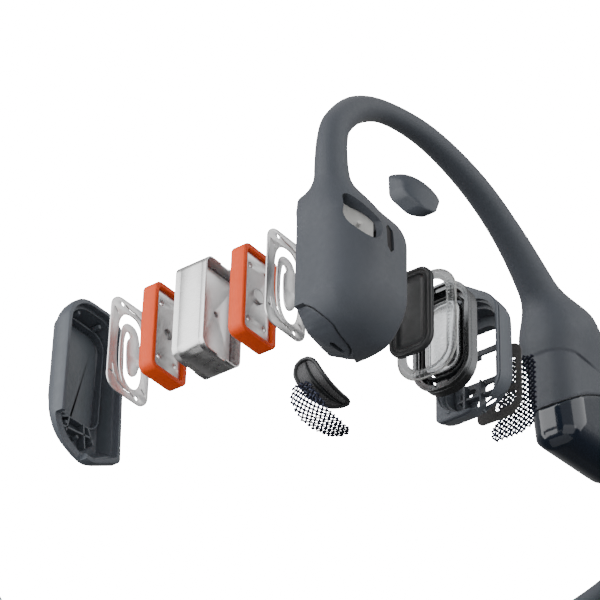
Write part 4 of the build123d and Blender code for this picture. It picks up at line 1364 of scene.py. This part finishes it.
def make_vent(side):
    """Vent membrane in its rim with a rib, and the woven crescent that covers it."""
    nodes = {"left": [["left_vent_membrane"], ["left_vent_grille"]], "right": [[], []]}[side]
    rim = closed_tube("rim", vent_loop(0.07, 0.85), 0.30)
    middle = [vent_point(t, 0.52, 0.98) for t in np.linspace(12, 122, 24)]
    rib_radii = [0.15 + 0.32 * math.sin(math.pi * k / 23) for k in range(24)]
    spine = sweep_tube("spine", middle, rib_radii, 10, 0.7, (1, 0, 0))
    frame_piece = join("membrane", rim, spine)
    put(frame_piece, side, "membrane", "vent_membrane", BLACK, nodes[0], 60)
    cloth = vent_sheet("cloth", 0.08, 0.75, 0.35, 0.08)
    put(cloth, side, "membrane", "vent_cloth", VENT_CLOTH, (), 60)
    length = 12.0
    first, last = VENT_STATIONS[0][0], VENT_STATIONS[-1][0]
    turns = np.linspace(first, last, 40)
    outline = [((t - first) / (last - first) * length, vent_edges(t)[1]) for t in turns]
    outline += [((t - first) / (last - first) * length, vent_edges(t)[0]) for t in turns[::-1]]

    def lift(u, v, h):
        turn = first + (last - first) * min(max(u / length, 0.0), 1.0)
        y, z = vent_path(turn, 0.28 - h)
        return v, y, z

    pitch = 0.58
    grille = woven("vent_wires", [(float(a), float(b)) for a, b in outline], pitch, 0.15, lift,
                   45.0)
    put(grille, side, "vent_grille", "vent_grille", WIRE_MESH, nodes[1], 60)


# ------------------------------------------------------------------ key, seal, bracket
def key_field(x, y, z):
    """The key: the recess's outline with clearance, a little proud of the pod's surface."""
    out, _ = key_axes(x, y)
    form = round_max(key_outline_field(y, z, 0.2, 0.6), pod_field(x, y, z, -KEY_PROUD), 0.3)
    return round_max(form, KEY_BASE - out, 0.3)


def make_button():
    """The left key: a wedge cap whose top follows the pod, its seal and the pale carrier."""
    cap = fine_cutter("cap", (5.0, -6.5, -1.5), (12.5, 1.0, 8.0), key_field)
    place(cap, "left", DRAWN["button"], 60)
    give(cap, "left_button_cap_shell", "left_button_key", KEY,
         ["left_button_cap"])
    seal = slant(ring_loft("seal", "x", [
        (SEAL_LOW, oblong(3.0, 3.4, 1.0, 2.7, 2.9)),
        ((SEAL_LOW + SEAL_HIGH) / 2, oblong(3.2, 3.6, 1.0, 2.7, 2.9)),
        (SEAL_HIGH, oblong(3.0, 3.4, 1.0, 2.7, 2.9))]))
    place(seal, "left", DRAWN["button"], 35)
    give(seal, "left_button_pad", "left_button_carrier", BLACK_MATT,
         ["left_button_seal"])
    plate = slant(ring_loft("bracket", "x", [
        (-2.1, oblong(5.4, 7.3, 0.8, 2.2, 3.0)),
        (BRACKET_TOP - 0.05, oblong(5.4, 7.3, 0.8, 2.2, 3.0)),
        (BRACKET_TOP, oblong(5.3, 7.2, 0.75, 2.2, 3.0))]))
    boss_top = BRACKET_TOP + 0.08
    bosses = [slant(bar("boss", (-1.5, 1.0, 5.0), (boss_top, 1.0, 5.0), 0.5, 16)),
              slant(bar("boss", (-1.5, 2.7, 2.6), (boss_top, 2.7, 2.6), 0.62, 20))]
    wells = slant(prism("well", "x", oblong(0.6, 0.6, 0.29, 2.7, 2.6), -1.3, 0.0))
    bracket = cut(join("bracket", plate, *bosses), wells)
    place(bracket, "left", (0, 0, 0), 35)
    give(bracket, "left_button_carrier_plate", "left_arm", PALE,
         ["left_button_bracket"])
    for unit in ("left", "right"):
        plug = prism("plug", "z", oblong(2.8, 3.9, 0.8, 2.6, 0.35), -13.25, -12.9)
        place(plug, unit, (0, 0, 0), 35)
        give(plug, f"{unit}_vent_plug", f"{unit}_arm", BLACK_MATT)
    for unit in ("left", "right"):
        insert = prism("insert", "x", slit(MICROPHONE_SLOT, MICROPHONE_WIDTH), 8.4, 10.45)
        place(insert, unit, (0, 0, 0), 35)
        give(insert, f"{unit}_microphone_insert", f"{unit}_arm", BLACK_MATT,
             [f"{unit}_microphone"])


# ------------------------------------------------------------------ neckband
BAND_HALF_WIDTH, BAND_REACH, BAND_Z = 64.7, 45.0, 6.0
BAND_STEPS, HINGE_STEP = 7, 4


def band_point(turns):
    """A point on the band in the unit frame's axes, turns from 0 at the pod to 1 behind."""
    angle = math.pi / 2 * turns
    x = BAND_HALF_WIDTH * math.cos(angle) - UNIT.x / MM
    return x, BATTERY_REAR + BAND_REACH * math.sin(angle), BAND_Z


def make_band():
    """Soft band: a middle stretch on the neckband, and two stretches that ride on the arms, parted
    where the arms flex.
    """
    joint = HINGE_STEP / BAND_STEPS
    half_gap = 0.003
    for side in ("left", "right"):
        turns = [-0.03, -0.015] + [k * (joint - half_gap) / 40 for k in range(41)]
        points = [band_point(max(t, 0)) if t >= 0 else
                  (HOOK_X, BATTERY_REAR + t * 90, BAND_Z) for t in turns]
        radii = [2.6, 2.2] + [1.9 + 0.35 * math.exp(-k / 2.5) for k in range(41)]
        sleeve = sweep_tube("band", points, radii, 24)
        place(sleeve, side)
        give(sleeve, f"{side}_band_sleeve_soft", f"{side}_arm", SKIN,
             [f"{side}_band_sleeve"])
    middle = [band_point(joint + half_gap + (1 - joint - half_gap) * k / 30)
              for k in range(31)]
    other = [(-x - 2 * UNIT.x / MM, y, z) for x, y, z in reversed(middle[:-1])]
    sleeve = sweep_tube("band", middle + other, [1.9] * (len(middle) + len(other)), 24)
    place(sleeve, "left")
    give(sleeve, "neckband_sleeve_soft", "neckband", SKIN, ["neckband_sleeve"])


# ------------------------------------------------------------------ CAD pieces kept as they are
def finish_cad():
    """Materials for the CAD pieces that need no closer modelling."""
    finishes = {
        "left_hook_wire": NICKEL, "right_hook_wire": NICKEL, "neckband_wire": NICKEL,
        "left_band_wire": NICKEL, "right_band_wire": NICKEL,
        "left_battery_cell": STEEL, "right_battery_cell": STEEL,
        "right_circuit_board": BLACK, "charging_port": NICKEL, "right_springs": SPRING,
        "right_coils": ORANGE, "right_plates": PLATE_STEEL, "right_mesh_backings": CLOTH,
        "right_wire_grilles": WIRE_MESH,
    }
    for node, material in finishes.items():
        obj = bpy.data.objects[node]
        obj.data.materials.clear()
        obj.data.materials.append(material)


make_skins()
make_trays()
for unit in ("left", "right"):
    make_skin_cover(unit)
    make_rear_cover(unit)
    make_driver(unit)
    make_diaphragm(unit)
    make_surround(unit)
    make_surround_lip(unit)
    make_basket(unit)
    make_outlet(unit)
    make_vent(unit)
make_button()
make_band()
finish_cad()
